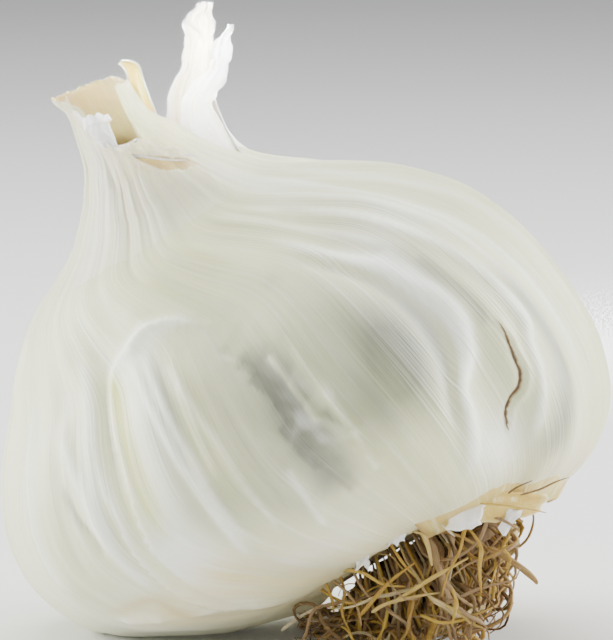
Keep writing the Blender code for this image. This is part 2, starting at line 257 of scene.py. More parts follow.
def fibreLabel(turn, share):
    # the turn at which the fibre through this point leaves the neck
    return turn - bulbForm["fibreTwist"] * (1.0 - smoothStep(*bulbForm["fibreRun"], share))


def pathPoint(turn, past):
    # the skin's outside at this many millimetres past the neck's foot, negative on the body
    foot = skinPoint(turn, np.ones_like(turn))[..., 2]
    body = skinPoint(turn, 1.0 + np.minimum(past, 0.0) / bulbForm["shareRun"])
    return np.where((past < 0.0)[..., None], body, collarPoint(turn, foot + np.maximum(past, 0.0), 0.0))


def footEase(turn, past):
    # rounds the corner between the shoulder and the neck: by how much a point there moves
    shift = np.zeros(turn.shape + (3,))
    near = np.abs(past) < bulbForm["easeTo"]
    if near.any():
        t, d = turn[near], past[near]
        eased = 1.0 - smoothStep(bulbForm["easeFrom"], bulbForm["easeTo"], np.abs(d))
        reach = bulbForm["easeReach"] * eased
        mean = sum(pathPoint(t, d + k * reach) for k in (-1.0, -0.5, 0.0, 0.5, 1.0)) / 5.0
        shift[near] = mean - pathPoint(t, d)
    return shift


def basePoint(turn, share):
    turn, share = np.broadcast_arrays(np.asarray(turn, float), np.asarray(share, float))
    body, neck = skinPoint(turn, np.minimum(share, 1.0)), neckPoint(turn, np.maximum(share - 1.0, 0.0))
    foot = skinPoint(turn, np.ones_like(turn))[..., 2]
    run = np.where(share < 1.0, bulbForm["shareRun"], rimHeight(turn) - foot)
    return np.where((share < 1.0)[..., None], body, neck) + footEase(turn, (share - 1.0) * run)


def outwardAt(turn, share):
    aside, on = bulbForm["outwardStep"]
    along = basePoint(turn, share + on) - basePoint(turn, share - on)
    around = basePoint(turn + aside, share) - basePoint(turn - aside, share)
    return normalised(np.cross(around, along))


def wrapPoint(turn, share, lift):
    # a point of the skin lifted off it, in the row frame and in millimetres
    turn, share, lift = np.broadcast_arrays(*(np.asarray(v, float) for v in (turn, share, lift)))
    return toWorld(basePoint(turn, share) + outwardAt(turn, share) * lift[..., None])


# ---- Relief of the outer skin, read at the real points of the surface
skinForm = {
    "columns": 380,
    "frontCrowd": 0.36,     # columns stand closer together on the front
    "rows": 236,
    "bodyEnd": 0.78,        # share of the rows that the body takes
    "neckEnd": 0.93,
    "neckWall": 0.22,
    "mouthDepth": 0.3,
    "pullIn": 0.45,
    "tear": ((-39.5, 0.497), (-40, 0.476), (-40.5, 0.46), (-41, 0.44), (-41.2, 0.428), (-43, 0.404),
             (-45.5, 0.388), (-47.5, 0.368), (-48.5, 0.348), (-49.2, 0.33)),
    "folds": (  # route of (turn, share), height, width, kind
        (((-84, 0.705), (-93, 0.73), (-101, 0.75), (-107, 0.754), (-113, 0.748), (-118, 0.738),
          (-120.5, 0.712), (-121.3, 0.676), (-120.7, 0.616), (-121, 0.552), (-124.5, 0.443), (-128, 0.344),
          (-131.5, 0.285), (-133.5, 0.23)), 0.66, 1.5, "step"),
        (((-126.5, 0.65), (-126, 0.592), (-125.5, 0.548), (-127.5, 0.468), (-130.5, 0.392), (-133, 0.32),
          (-134, 0.216), (-132, 0.14)), 0.42, 1.1, "step"),
        (((-90, 0.725), (-97, 0.742), (-103, 0.748), (-108, 0.742), (-112, 0.725)), 0.3, 0.8, "ridge"),
        (((-112, 0.725), (-109, 0.66), (-107, 0.6), (-106, 0.52), (-109, 0.43), (-116, 0.312)),
         0.28, 0.6, "ridge"),
        (((-107, 0.72), (-106, 0.667), (-105, 0.618), (-104, 0.562), (-105.5, 0.473), (-110, 0.36)),
         0.26, 0.5, "ridge"),
        (((-101.5, 0.66), (-101, 0.615), (-101, 0.578), (-102, 0.52)), 0.16, 0.45, "ridge"),
        (((-101.5, 0.69), (-100, 0.64), (-98, 0.56), (-99.5, 0.458), (-103, 0.37)), 0.24, 0.5, "ridge"),
        (((-96, 0.66), (-94, 0.58), (-95, 0.48), (-98, 0.4)), -0.16, 0.6, "ridge"),
        (((-121.5, 0.742), (-122.8, 0.7), (-122.6, 0.64), (-122.4, 0.57), (-124.8, 0.47)),
         -0.3, 0.5, "ridge"),
        (((-90.5, 0.672), (-89, 0.66), (-86, 0.636), (-84.5, 0.625)), -0.17, 0.8, "step"),
        (((-89, 0.643), (-87.5, 0.632), (-83.5, 0.6), (-82, 0.588)), -0.22, 0.8, "step"),
        (((-88.5, 0.622), (-87, 0.608), (-83.5, 0.568), (-82.5, 0.55)), -0.24, 0.8, "step"),
        (((-86, 0.585), (-85.2, 0.564), (-84.3, 0.5), (-84.3, 0.475)), -0.25, 0.8, "step"),
        (((-88, 0.552), (-87.6, 0.532), (-87.6, 0.472), (-87.6, 0.45)), -0.18, 0.7, "step"),
        (((-87, 0.485), (-86.6, 0.46), (-86.6, 0.396), (-87, 0.372)), -0.24, 0.8, "step"),
        (((-79.7, 0.54), (-79.3, 0.524), (-78.4, 0.496), (-78.4, 0.48)), -0.22, 0.6, "step"),
        (((-79.8, 0.475), (-79.4, 0.46), (-78.4, 0.428), (-78.4, 0.41)), -0.18, 0.6, "step"),
        (((-82, 0.635), (-81.5, 0.612), (-81, 0.548), (-81.5, 0.52)), 0.34, 0.42, "ridge"),
        (((-77, 0.63), (-76.5, 0.604), (-76, 0.55), (-76.5, 0.492), (-77, 0.465)), 0.16, 0.42, "ridge"),
        (((-77, 0.57), (-77, 0.544), (-77.5, 0.488), (-79, 0.416), (-80, 0.39)), 0.38, 0.42, "ridge"),
        (((-90.5, 0.5), (-91.5, 0.472), (-93, 0.425), (-94.5, 0.38), (-96, 0.345)), 0.32, 0.5, "ridge"),
        (((-135.5, 0.7), (-134, 0.656), (-130.8, 0.6), (-129.2, 0.544), (-130.3, 0.456), (-132.5, 0.4)),
         0.34, 0.9, "ridge"),
        (((-135.5, 0.62), (-134, 0.58), (-132, 0.544), (-132.3, 0.505)), -0.34, 0.42, "ridge"),
        (((-145.5, 0.412), (-141.5, 0.388), (-138.8, 0.362)), 0.42, 0.8, "ridge"),
        (((-127, 0.8), (-127, 0.677), (-128, 0.6), (-131, 0.5)), 0.3, 1.1, "ridge"),
        (((-138, 0.78), (-137, 0.66), (-138, 0.56), (-140, 0.47)), -0.22, 1.2, "ridge"),
        (((-155, 0.76), (-151, 0.64), (-150, 0.545), (-149, 0.46)), 0.35, 1.2, "step"),
        (((-83, 0.66), (-83.5, 0.59), (-84.5, 0.52), (-86, 0.44), (-90, 0.36)), -0.4, 2.2, "ridge"),
        (((-66, 0.79), (-60, 0.76), (-56, 0.71), (-50, 0.66), (-48, 0.613), (-46, 0.575), (-46, 0.537),
          (-49, 0.485), (-55, 0.448), (-57, 0.403), (-60, 0.35), (-65, 0.305), (-76, 0.28)),
         0.5, 1.2, "ridge"),
        (((-66, 0.73), (-62, 0.713), (-55, 0.667), (-52, 0.623), (-51, 0.58), (-52, 0.535), (-54, 0.492),
          (-58, 0.44), (-61, 0.39), (-64, 0.33)), -0.34, 1.1, "ridge"),
        (((-36, 0.55), (-34, 0.487), (-36, 0.458), (-38, 0.403), (-42, 0.338), (-46, 0.268)),
         0.34, 0.8, "ridge"),
        (((-56, 0.89), (-49, 0.83), (-43, 0.782), (-38, 0.665), (-34, 0.57), (-33, 0.49), (-36, 0.4)),
         0.3, 0.9, "ridge"),
        (((-46, 0.9), (-40, 0.83), (-35, 0.76), (-31, 0.665), (-28, 0.57), (-27, 0.47), (-30, 0.36)),
         0.26, 0.9, "ridge"),
        (((-34, 0.92), (-29, 0.84), (-26, 0.76), (-22, 0.66), (-19, 0.55), (-19, 0.43), (-22, 0.32)),
         0.3, 1.0, "ridge"),
        (((-66, 0.9), (-58, 0.83), (-52, 0.775), (-46, 0.7), (-43, 0.63)), 0.24, 0.8, "ridge"),
        (((-20, 0.9), (-15, 0.8), (-11, 0.66), (-9, 0.5), (-11, 0.36)), 0.24, 1.1, "ridge"),
        (((-77, 0.86), (-73, 0.78), (-70, 0.7)), 0.15, 1.0, "ridge"),
        (((-73, 0.66), (-70, 0.56), (-70, 0.46), (-74, 0.36)), 0.16, 1.1, "ridge"),
        (((-150, 0.425), (-142, 0.378), (-137, 0.335), (-132, 0.28)), 0.3, 0.7, "ridge"),
        (((60, 0.8), (66, 0.6), (64, 0.4), (58, 0.22)), 0.45, 1.5, "step"),
        (((30, 0.8), (36, 0.6), (35, 0.4)), 0.25, 1.1, "ridge"),
        (((85, 0.8), (90, 0.62), (88, 0.42)), 0.25, 1.2, "ridge"),
        (((118, 0.78), (112, 0.62), (110, 0.45), (112, 0.3)), 0.45, 1.5, "step"),
        (((138, 0.8), (134, 0.62), (134, 0.45)), 0.22, 1.1, "ridge"),
        (((170, 0.78), (164, 0.6), (165, 0.45)), 0.35, 1.4, "step"),
    ),
    "tints": {  # mask: routes of (turn, share), strength, width
        "green": (
            (((-118, 0.74), (-118.3, 0.7), (-117.6, 0.64), (-117, 0.57), (-119.5, 0.47)), 0.95, 1.3),
            (((-122.8, 0.6), (-122.8, 0.54), (-126, 0.45), (-129.5, 0.38)), 0.4, 1.0),
        ),
        "tan": (
            (((-148, 0.435), (-144, 0.424), (-134.5, 0.408), (-136.5, 0.352), (-138, 0.3), (-136.8, 0.24),
              (-135, 0.172), (-129, 0.13), (-122, 0.1)), 0.6, 0.8),
        ),
        # painted shade: the shaded front of the right clove, the recess beside the highlight band, the band
        # on the right turned from the light, and the hollows of the left clove and the valley
        "shade": (
            (((-54, 0.63), (-60.5, 0.55), (-66, 0.51), (-70.5, 0.488), (-75, 0.43)), 0.45, 4.0),
            (((-42.5, 0.63), (-42, 0.596), (-41, 0.532), (-42, 0.5)), 0.55, 0.8),
            (((-33, 0.58), (-28.5, 0.5), (-28, 0.43), (-33, 0.34), (-38, 0.28), (-42, 0.22)), 0.8, 2.2),
            (((-106, 0.54), (-100, 0.48), (-96, 0.43), (-92, 0.38)), 0.25, 2.2),
            (((-80, 0.62), (-83, 0.56), (-84.5, 0.5), (-86, 0.44), (-86, 0.38)), 0.12, 1.8),
            (((-109, 0.71), (-110, 0.64), (-111, 0.56), (-113, 0.47)), 0.2, 2.4),
        ),
        # painted highlights: along the shoulder below the neck, the glossy band on the right clove and the
        # arc over the left clove's top
        "light": (
            (((-66, 1.0), (-56, 0.985), (-46.5, 0.968), (-39.5, 0.916), (-33, 0.85), (-28, 0.78)), 0.8, 1.3),
            (((-46, 0.67), (-46, 0.636), (-46, 0.584), (-45.5, 0.54), (-45.5, 0.5)), 1.0, 0.9),
            (((-100, 0.752), (-107, 0.754), (-113, 0.744), (-118.5, 0.728), (-120.3, 0.69), (-119.8, 0.64)),
             1.0, 0.7),
        ),
    },
    "patches": {  # mask: rows of turn and width, share and width, strength
        "cream": (((-133, 16), (0.35, 0.06), 0.7),),
        "green": (
            ((-101, 5), (0.55, 0.14), 0.3), ((-12, 14), (0.35, 0.16), 0.3), ((-72, 10), (0.42, 0.2), 0.3),
        ),
        # painted shade on the front and the shoulder, where less light falls
        "shade": (
            ((-82, 24), (0.56, 0.17), 0.26), ((-63, 9), (0.545, 0.09), 0.7), ((-105.5, 5), (0.64, 0.09), 0.6),
            ((-112, 16), (0.48, 0.07), 0.25), ((-78, 44), (0.86, 0.13), 0.3),
        ),
        # painted highlights on the lit parts of the right clove, the shoulder and the lower front
        "light": (
            ((-48, 5), (0.6, 0.08), 0.5), ((-54, 8), (0.31, 0.06), 0.9), ((-34, 12), (0.68, 0.05), 0.5),
            ((-140, 30), (0.36, 0.1), 0.4), ((-106, 14), (0.3, 0.05), 0.8),
        ),
    },
    "near": (25.0, 0.2),    # degrees and share: how far a route is felt
    "fade": 0.22,           # share of a route over which it rises from its ends
    "body": ((0.12, 0.3), (0.75, 0.95)),    # shares where the body's relief begins and ends
    "dents": ((0.2, 8.0, 3.0, 5.0, 14), (0.09, 32.0, 0.0, 14.0, 15)),    # size, waves, start, rows, seed
    "spot": ((180.0, 35.0), (0.41, 0.1)),
    "belly": ((0.25, 0.45), (0.66, 0.85)),
    "crumple": 0.34,
    "sag": ((-83.5, 7.5), (0.53, 0.12)),
    "facets": ((0.65, (110.0, 16.0), (22.0, -60.0), 16), (0.35, (200.0, -20.0), (44.0, 90.0), 29)),
    "tearNear": ((-43.0, 12.0), (0.43, 0.13)),
    "tearFar": 9.0,
    "gap": (0.4, -0.1, 0.34),       # depth, place and width, in millimetres
    "lip": (0.24, 0.6, 0.4),
    "shrivel": (0.14, 128.0, 24.0, 18),
    "shrivelEnd": (0.06, 0.24),
}


def routeLine(route):
    return readCurve(smoothCurve(route, 200), np.linspace(0, 1, 60))


def alongRoute(points, turn, share, line, near):
    # for the points near a line: their distance, the side (1 on its left) and the share along it
    spots = basePoint(line[:, 0], line[:, 1])
    gap = np.linalg.norm(points[near][:, None, :] - spots[None, :, :], axis=-1)
    closest = gap.argmin(axis=1)
    ahead = np.gradient(line, axis=0)[closest]
    turnGap, shareGap = turn[near] - line[closest, 0], share[near] - line[closest, 1]
    side = np.where(ahead[:, 0] * shareGap - ahead[:, 1] * turnGap > 0.0, 1.0, -1.0)
    return gap.min(axis=1), side, np.linspace(0, 1, len(line))[closest]


def foldRelief(points, turn, share, route, height, width, kind):
    line = routeLine(route)
    low, high = line.min(axis=0) - skinForm["near"], line.max(axis=0) + skinForm["near"]
    near = (turn > low[0]) & (turn < high[0]) & (share > low[1]) & (share < high[1])
    lift = np.zeros(len(points))
    if not near.any():
        return lift
    distance, side, ends = alongRoute(points, turn, share, line, near)
    fade = smoothStep(0.0, skinForm["fade"], ends) * smoothStep(0.0, skinForm["fade"], 1.0 - ends)
    if kind == "ridge":
        lift[near] = height * np.exp(-((distance / width) ** 2)) * fade
    else:  # a skin's edge: raised on the left of its route, level on the right
        signed = distance * side
        lift[near] = height * smoothStep(-0.35 * width, 0.35 * width, signed) * np.exp(
            -np.maximum(signed, 0.0) / (2.5 * width)
        ) * fade
    return lift


def foldsAt(points, turn, share):
    return sum(foldRelief(points, turn, share, *fold) for fold in skinForm["folds"])


def tintAt(name, points, turn, share):
    return sum(foldRelief(points, turn, share, *row, "ridge") for row in skinForm["tints"][name])


def patchAt(name, turn, share):
    rows = skinForm["patches"][name]
    return sum(strength * hump(turn, *across) * hump(share, *along) for across, along, strength in rows)


def crumple(turn, share):
    # the slack, crumpled skin of the front valley: its place, and facets with sharp creases
    angle = turn / 360.0
    across, along = skinForm["sag"]
    facet = sum(
        size * softNoise(angle * x[0] + share * x[1], share * y[0] + angle * y[1], seed, False)
        for size, x, y, seed in skinForm["facets"]
    )
    return hump(turn, *across) * hump(share, *along), facet


ribForm = {
    "slow": (16.0, 2.0, 11),        # waves, rows and seed
    "neck": ((0.62, 1.0), (1.05, 1.6), 0.4),
    "shoulder": ((0.35, 0.7), (0.95, 1.2)),
    "layers": (  # waves, drift, rows, seed, then height, more on the shoulder and more in the neck
        (32.0, 0.5, 1.4, 19, 0.08, 0.16, 0.0),
        (64.0, 0.6, 1.6, 12, 0.06, 0.1, 0.12),
        (192.0, 1.2, 2.2, 13, 0.014, 0.0, 0.065),
    ),
}


def ribRelief(turn, share):
    # long ribs that draw together in the neck
    angle = fibreLabel(turn, share) / 360.0
    waves, rows, seed = ribForm["slow"]
    slow = softNoise(angle * waves, share * rows, seed)
    start, end, loss = ribForm["neck"]
    neck = smoothStep(*start, share) * (1.0 - loss * smoothStep(*end, share))
    start, end = ribForm["shoulder"]
    shoulder = smoothStep(*start, share) * (1.0 - smoothStep(*end, share))
    lift = np.zeros_like(angle)
    for waves, drift, rows, seed, height, onShoulder, inNeck in ribForm["layers"]:
        ribs = softNoise(angle * waves + drift * slow, share * rows, seed)
        lift += ribs * (height + onShoulder * shoulder + inNeck * neck)
    return lift


def tearDistance(points, turn, share):
    # distance from the tear's line, negative on its low side
    (turnMiddle, turnReach), (shareMiddle, shareReach) = skinForm["tearNear"]
    near = (np.abs(turn - turnMiddle) < turnReach) & (np.abs(share - shareMiddle) < shareReach)
    distance, side, ends = alongRoute(points, turn, share, routeLine(skinForm["tear"]), near)
    signed = np.full(len(points), skinForm["tearFar"])
    signed[near] = side * (distance + 0.5 - 0.5 * np.sin(np.pi * ends) ** 0.6)
    return signed


def skinRelief(points, turn, share, folds):
    angle = turn / 360.0
    (start, full), (fading, end) = skinForm["body"]
    body = smoothStep(start, full, share) * (1.0 - smoothStep(fading, end, share))
    lift = ribRelief(turn, share) + folds
    # kept inside the frame's box, but for the spot that the bulb rests on
    across, along = skinForm["spot"]
    spot = hump(np.abs(turn), *across) * hump(share, *along)
    (start, full), (fading, end) = skinForm["belly"]
    belly = smoothStep(start, full, share) * (1.0 - smoothStep(fading, end, share))
    lift -= skinForm["pullIn"] * belly * (1.0 - spot)
    # soft dents of the cloves under the skin
    for size, waves, first, rows, seed in skinForm["dents"]:
        lift += size * softNoise(angle * waves + first, share * rows, seed) * body
    sag, facet = crumple(turn, share)
    lift += skinForm["crumple"] * sag * facet
    # the torn gap: sunk on its low side, its lip raised on the other
    tear = tearDistance(points, turn, share)
    for sign, (height, place, width) in ((-1.0, skinForm["gap"]), (1.0, skinForm["lip"])):
        lift += sign * height * hump(tear, place, width)
    # shrivelled edge round the root end
    size, waves, rows, seed = skinForm["shrivel"]
    rootEnd = 1.0 - smoothStep(*skinForm["shrivelEnd"], share)
    lift += size * softNoise(angle * waves, share * rows, seed) * rootEnd
    return lift


def skinSurface(u, v):
    # turn, share and how far inside the wall every grid point lies
    crowd = skinForm["frontCrowd"]
    turn = 360.0 * (u - crowd * np.sin(2.0 * np.pi * u) / (2.0 * np.pi)) - 90.0
    bodyEnd, neckEnd = skinForm["bodyEnd"], skinForm["neckEnd"]
    share = np.interp(v, (0.0, bodyEnd, neckEnd, 1.0), (0.0, 1.0, 2.0, 1.0 + skinForm["mouthDepth"]))
    inner = v > neckEnd + 1e-6
    return turn, share, inner


def addGrid(bm, columns, rows):
    made = bmesh.ops.create_grid(bm, x_segments=columns, y_segments=rows, size=0.5)["verts"]
    across = np.array([vert.co.x for vert in made]) + 0.5
    along = np.array([vert.co.y for vert in made]) + 0.5
    return made, across, along


def moveTo(verts, points):
    for vert, point in zip(verts, points.tolist()):
        vert.co = point


def fillLayer(bm, verts, name, values):
    layer = bm.verts.layers.float[name]
    for vert, value in zip(verts, values.tolist()):
        vert[layer] = value


def fillFibre(bm, verts, vectors):
    layer = bm.verts.layers.float_vector["fibre"]
    for vert, value in zip(verts, vectors.tolist()):
        vert[layer] = value


def startMesh(*masks):
    bm = bmesh.new()
    bm.verts.layers.float_vector.new("fibre")
    for name in masks:
        bm.verts.layers.float.new(name)
    return bm


def closeEnds(bm):
    openEdges = [edge for edge in bm.edges if edge.is_boundary]
    bmesh.ops.holes_fill(bm, edges=openEdges, sides=0)


def addWall(bm, thickness):
    bmesh.ops.recalc_face_normals(bm, faces=bm.faces[:])
    bmesh.ops.solidify(bm, geom=bm.faces[:], thickness=thickness * mm)
    bmesh.ops.recalc_face_normals(bm, faces=bm.faces[:])


def finishPiece(name, bm, material, node=None):
    mesh = bpy.data.meshes.new(name)
    bm.to_mesh(mesh)
    bm.free()
    mesh.shade_smooth()
    mesh.materials.append(material)
    piece = bpy.data.objects.new(name, mesh)
    bpy.context.scene.collection.objects.link(piece)
    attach(piece, "root")
    if node:
        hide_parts(node)
    print(name, len(mesh.polygons), "faces")
    return piece


# ---- Materials
def makeGroup(name, inputs, outputs):
    group = bpy.data.node_groups.new(name, "ShaderNodeTree")
    for label, kind, value in inputs:
        socket = group.interface.new_socket(label, in_out="INPUT", socket_type=kind)
        if value is not None:
            socket.default_value = value
    for label, kind in outputs:
        group.interface.new_socket(label, in_out="OUTPUT", socket_type=kind)
    start, end = group.nodes.new("NodeGroupInput"), group.nodes.new("NodeGroupOutput")
    return group, start, end


def fibreGroup():
    # long streaks along the grain: a vector that runs along the fibres, stretched by its own noise
    group, start, end = makeGroup(
        "fibre streaks",
        (
            ("Vector", "NodeSocketVector", None),
            ("Across", "NodeSocketFloat", 30.0),
            ("Along", "NodeSocketFloat", 1.5),
            ("Wander", "NodeSocketFloat", 0.02),
            ("From", "NodeSocketFloat", 0.35),
            ("To", "NodeSocketFloat", 0.65),
        ),
        (("Mask", "NodeSocketFloat"),),
    )
    nodes, links = group.nodes, group.links
    sway = nodes.new("ShaderNodeTexNoise")
    sway.inputs["Scale"].default_value = 3.0
    sway.inputs["Detail"].default_value = 1.0
    centred = nodes.new("ShaderNodeVectorMath")
    centred.operation = "SUBTRACT"
    centred.inputs[1].default_value = (0.5, 0.5, 0.5)
    swayed = nodes.new("ShaderNodeVectorMath")
    swayed.operation = "SCALE"
    joined = nodes.new("ShaderNodeVectorMath")
    scales = nodes.new("ShaderNodeCombineXYZ")
    stretched = nodes.new("ShaderNodeVectorMath")
    stretched.operation = "MULTIPLY"
    streaks = nodes.new("ShaderNodeTexNoise")
    streaks.inputs["Scale"].default_value = 1.0
    streaks.inputs["Detail"].default_value = 3.0
    streaks.inputs["Roughness"].default_value = 0.6
    span = nodes.new("ShaderNodeMapRange")
    links.new(start.outputs["Vector"], sway.inputs["Vector"])
    links.new(sway.outputs["Color"], centred.inputs[0])
    links.new(centred.outputs["Vector"], swayed.inputs[0])
    links.new(start.outputs["Wander"], swayed.inputs["Scale"])
    links.new(start.outputs["Vector"], joined.inputs[0])
    links.new(swayed.outputs["Vector"], joined.inputs[1])
    for axis, source in (("X", "Across"), ("Y", "Across"), ("Z", "Along")):
        links.new(start.outputs[source], scales.inputs[axis])
    links.new(joined.outputs["Vector"], stretched.inputs[0])
    links.new(scales.outputs["Vector"], stretched.inputs[1])
    links.new(stretched.outputs["Vector"], streaks.inputs["Vector"])
    links.new(streaks.outputs["Fac"], span.inputs["Value"])
    links.new(start.outputs["From"], span.inputs["From Min"])
    links.new(start.outputs["To"], span.inputs["From Max"])
    links.new(span.outputs["Result"], end.inputs["Mask"])
    return group


def blotchGroup():
    # soft patches of a few millimetres
    group, start, end = makeGroup(
        "soft patches",
        (
            ("Size", "NodeSocketFloat", 120.0),
            ("From", "NodeSocketFloat", 0.4),
            ("To", "NodeSocketFloat", 0.7),
        ),
        (("Mask", "NodeSocketFloat"),),
    )
    nodes, links = group.nodes, group.links
    place = nodes.new("ShaderNodeTexCoord")
    patches = nodes.new("ShaderNodeTexNoise")
    patches.inputs["Detail"].default_value = 4.0
    span = nodes.new("ShaderNodeMapRange")
    links.new(place.outputs["Object"], patches.inputs["Vector"])
    links.new(start.outputs["Size"], patches.inputs["Scale"])
    links.new(patches.outputs["Fac"], span.inputs["Value"])
    links.new(start.outputs["From"], span.inputs["From Min"])
    links.new(start.outputs["To"], span.inputs["From Max"])
    links.new(span.outputs["Result"], end.inputs["Mask"])
    return group


fibreStreaks = fibreGroup()
softPatches = blotchGroup()


def startMaterial(name, colour, values):
    made = bpy.data.materials.new(name)
    made.use_nodes = True
    shader = made.node_tree.nodes["Principled BSDF"]
    shader.inputs["Base Color"].default_value = (*colour, 1.0)
    for label, value in values.items():
        shader.inputs[label].default_value = value
    return made, shader


def addStreaks(made, across, along, wander=0.02, low=0.35, high=0.65):
    nodes, links = made.node_tree.nodes, made.node_tree.links
    grain = nodes.new("ShaderNodeAttribute")
    grain.attribute_name = "fibre"
    group = nodes.new("ShaderNodeGroup")
    group.node_tree = fibreStreaks
    values = {"Across": across, "Along": along, "Wander": wander, "From": low, "To": high}
    for label, value in values.items():
        group.inputs[label].default_value = value
    links.new(grain.outputs["Vector"], group.inputs["Vector"])
    return group.outputs["Mask"]


def addPatches(made, size, low=0.4, high=0.7):
    group = made.node_tree.nodes.new("ShaderNodeGroup")
    group.node_tree = softPatches
    for label, value in (("Size", size), ("From", low), ("To", high)):
        group.inputs[label].default_value = value
    return group.outputs["Mask"]


def addMask(made, name):
    node = made.node_tree.nodes.new("ShaderNodeAttribute")
    node.attribute_name = name
    return node.outputs["Fac"]


def addNear(made, name, reach):
    # 1 where the distance kept in an attribute is well below the reach
    nodes, links = made.node_tree.nodes, made.node_tree.links
    size, span = nodes.new("ShaderNodeMath"), nodes.new("ShaderNodeMapRange")
    size.operation = "ABSOLUTE"
    span.inputs["From Min"].default_value = reach
    span.inputs["From Max"].default_value = 0.6 * reach
    links.new(addMask(made, name), size.inputs[0])
    links.new(size.outputs["Value"], span.inputs["Value"])
    return span.outputs["Result"]


def addTimes(made, first, second):
    node = made.node_tree.nodes.new("ShaderNodeMath")
    node.operation = "MULTIPLY"
    for socket, value in zip(node.inputs, (first, second)):
        if isinstance(value, float):
            socket.default_value = value
        else:
            made.node_tree.links.new(value, socket)
    return node.outputs["Value"]


def addMix(made, base, colour, mask, mode="MIX"):
    # base and colour are sockets or fixed colours
    nodes, links = made.node_tree.nodes, made.node_tree.links
    mix = nodes.new("ShaderNodeMix")
    mix.data_type = "RGBA"
    mix.blend_type = mode
    for socket, value in ((mix.inputs[0], mask), (mix.inputs[6], base), (mix.inputs[7], colour)):
        if isinstance(value, bpy.types.NodeSocket):
            links.new(value, socket)
        elif isinstance(value, float):
            socket.default_value = value
        else:
            socket.default_value = (*value, 1.0)
    return mix.outputs[2]


def addBump(made, shader, layers):
    # layers of (height mask, strength, distance in millimetres)
    nodes, links = made.node_tree.nodes, made.node_tree.links
    last = None
    for height, strength, distance in layers:
        bump = nodes.new("ShaderNodeBump")
        bump.inputs["Strength"].default_value = strength
        bump.inputs["Distance"].default_value = distance * mm
        links.new(height, bump.inputs["Height"])
        if last:
            links.new(last, bump.inputs["Normal"])
        last = bump.outputs["Normal"]
    links.new(last, shader.inputs["Normal"])


paperLook = {
    "Roughness": 0.42,
    "Specular IOR Level": 0.42,
    "Subsurface Weight": 0.35,
    "Subsurface Scale": 0.0006,
    "Subsurface Radius": (1.0, 0.9, 0.75),
    "Sheen Weight": 0.18,
    "Sheen Roughness": 0.4,
    "Coat Weight": 0.1,
    "Coat Roughness": 0.3,
}


skinGround = (0.81, 0.83, 0.56)
skinGrain = {  # across, along, wander, low and high
    "wide": (6.0, 1.0, 0.06, 0.4, 0.66),
    "middling": (15.0, 1.2, 0.05, 0.42, 0.66),
    "veins": (34.0, 1.3, 0.03, 0.56, 0.7),
    "fine": (90.0, 2.6, 0.02, 0.35, 0.7),
}
skinTints = (  # grain or mask, its tone, and its strength or the streaks that break it up
    ("wide", (0.63, 0.655, 0.39), 1.0),
    ("middling", (0.62, 0.645, 0.4), 0.6),
    ("veins", (0.94, 0.94, 0.78), 0.7),
    ("fine", (0.68, 0.695, 0.48), 0.4),
    # painted shade, then painted highlights, mixed into the skin's colour by their masks
    ("shade", (0.2, 0.206, 0.168), 0.95),
    ("light", (0.96, 0.96, 0.89), 0.85),
    ("green", (0.66, 0.7, 0.22), (16.0, 1.0, 0.05, 0.15, 0.55)),
    ("cream", (0.8, 0.7, 0.36), (20.0, 1.6, 0.05, 0.2, 0.62)),
    ("blush", (0.7, 0.5, 0.47), (46.0, 1.0, 0.03, 0.5, 0.68)),
    ("tan", (0.6, 0.46, 0.17), (30.0, 1.5, 0.03, -0.5, 0.6)),
)
# tan along the torn edge, and a painted shadow in the crack of the tear
tearTintsAndShadow = ((0.3, (0.42, 0.3, 0.13)), (0.17, (0.13, 0.08, 0.04)))  # reach in millimetres, tone


def skinMaterial():
    made, shader = startMaterial("garlic skin", skinGround, paperLook)
    links = made.node_tree.links
    grain = {name: addStreaks(made, *values) for name, values in skinGrain.items()}
    colour = skinGround
    for name, tone, strength in skinTints:
        mask = grain[name] if name in grain else addMask(made, name)
        share = strength if isinstance(strength, float) else addStreaks(made, *strength)
        colour = addMix(made, colour, tone, addTimes(made, mask, share))
    # the tear's tan edge, then the painted shadow inside its crack
    for reach, tone in tearTintsAndShadow:
        torn = addTimes(made, addMask(made, "torn_edge_and_shadow"), addNear(made, "tear", reach))
        colour = addMix(made, colour, tone, torn)
    links.new(colour, shader.inputs["Base Color"])
    rough = made.node_tree.nodes.new("ShaderNodeMapRange")
    rough.inputs["To Min"].default_value = 0.34
    rough.inputs["To Max"].default_value = 0.55
    links.new(addPatches(made, 180.0, 0.35, 0.7), rough.inputs["Value"])
    links.new(rough.outputs["Result"], shader.inputs["Roughness"])
    crinkle = addPatches(made, 420.0, 0.3, 0.7)
    addBump(made, shader, ((grain["veins"], 0.4, 0.14), (grain["fine"], 0.35, 0.1), (crinkle, 0.14, 0.15)))
    return made


def paperMaterial(name, base, shade, vein, edge, look=None, across=8.0, veinAt=(0.55, 0.68)):
    # dry leaf and skin sheets: pale base, darker shade along the grain, veins, and an edge tint
    made, shader = startMaterial(name, base, {**paperLook, **(look or {})})
    links = made.node_tree.links
    broad = addStreaks(made, across * 0.4, 1.0, 0.1, 0.35, 0.65)
    veins = addStreaks(made, across, 0.7, 0.05, *veinAt)
    fine = addStreaks(made, across * 3.0, 1.6, 0.03, 0.35, 0.7)
    colour = addMix(made, base, shade, broad)
    colour = addMix(made, colour, vein, addTimes(made, veins, 0.75))
    colour = addMix(made, colour, shade, addTimes(made, fine, 0.3))
    colour = addMix(made, colour, edge, addMask(made, "edge"))
    links.new(colour, shader.inputs["Base Color"])
    addBump(made, shader, ((veins, 0.35, 0.12), (fine, 0.3, 0.08)))
    return made


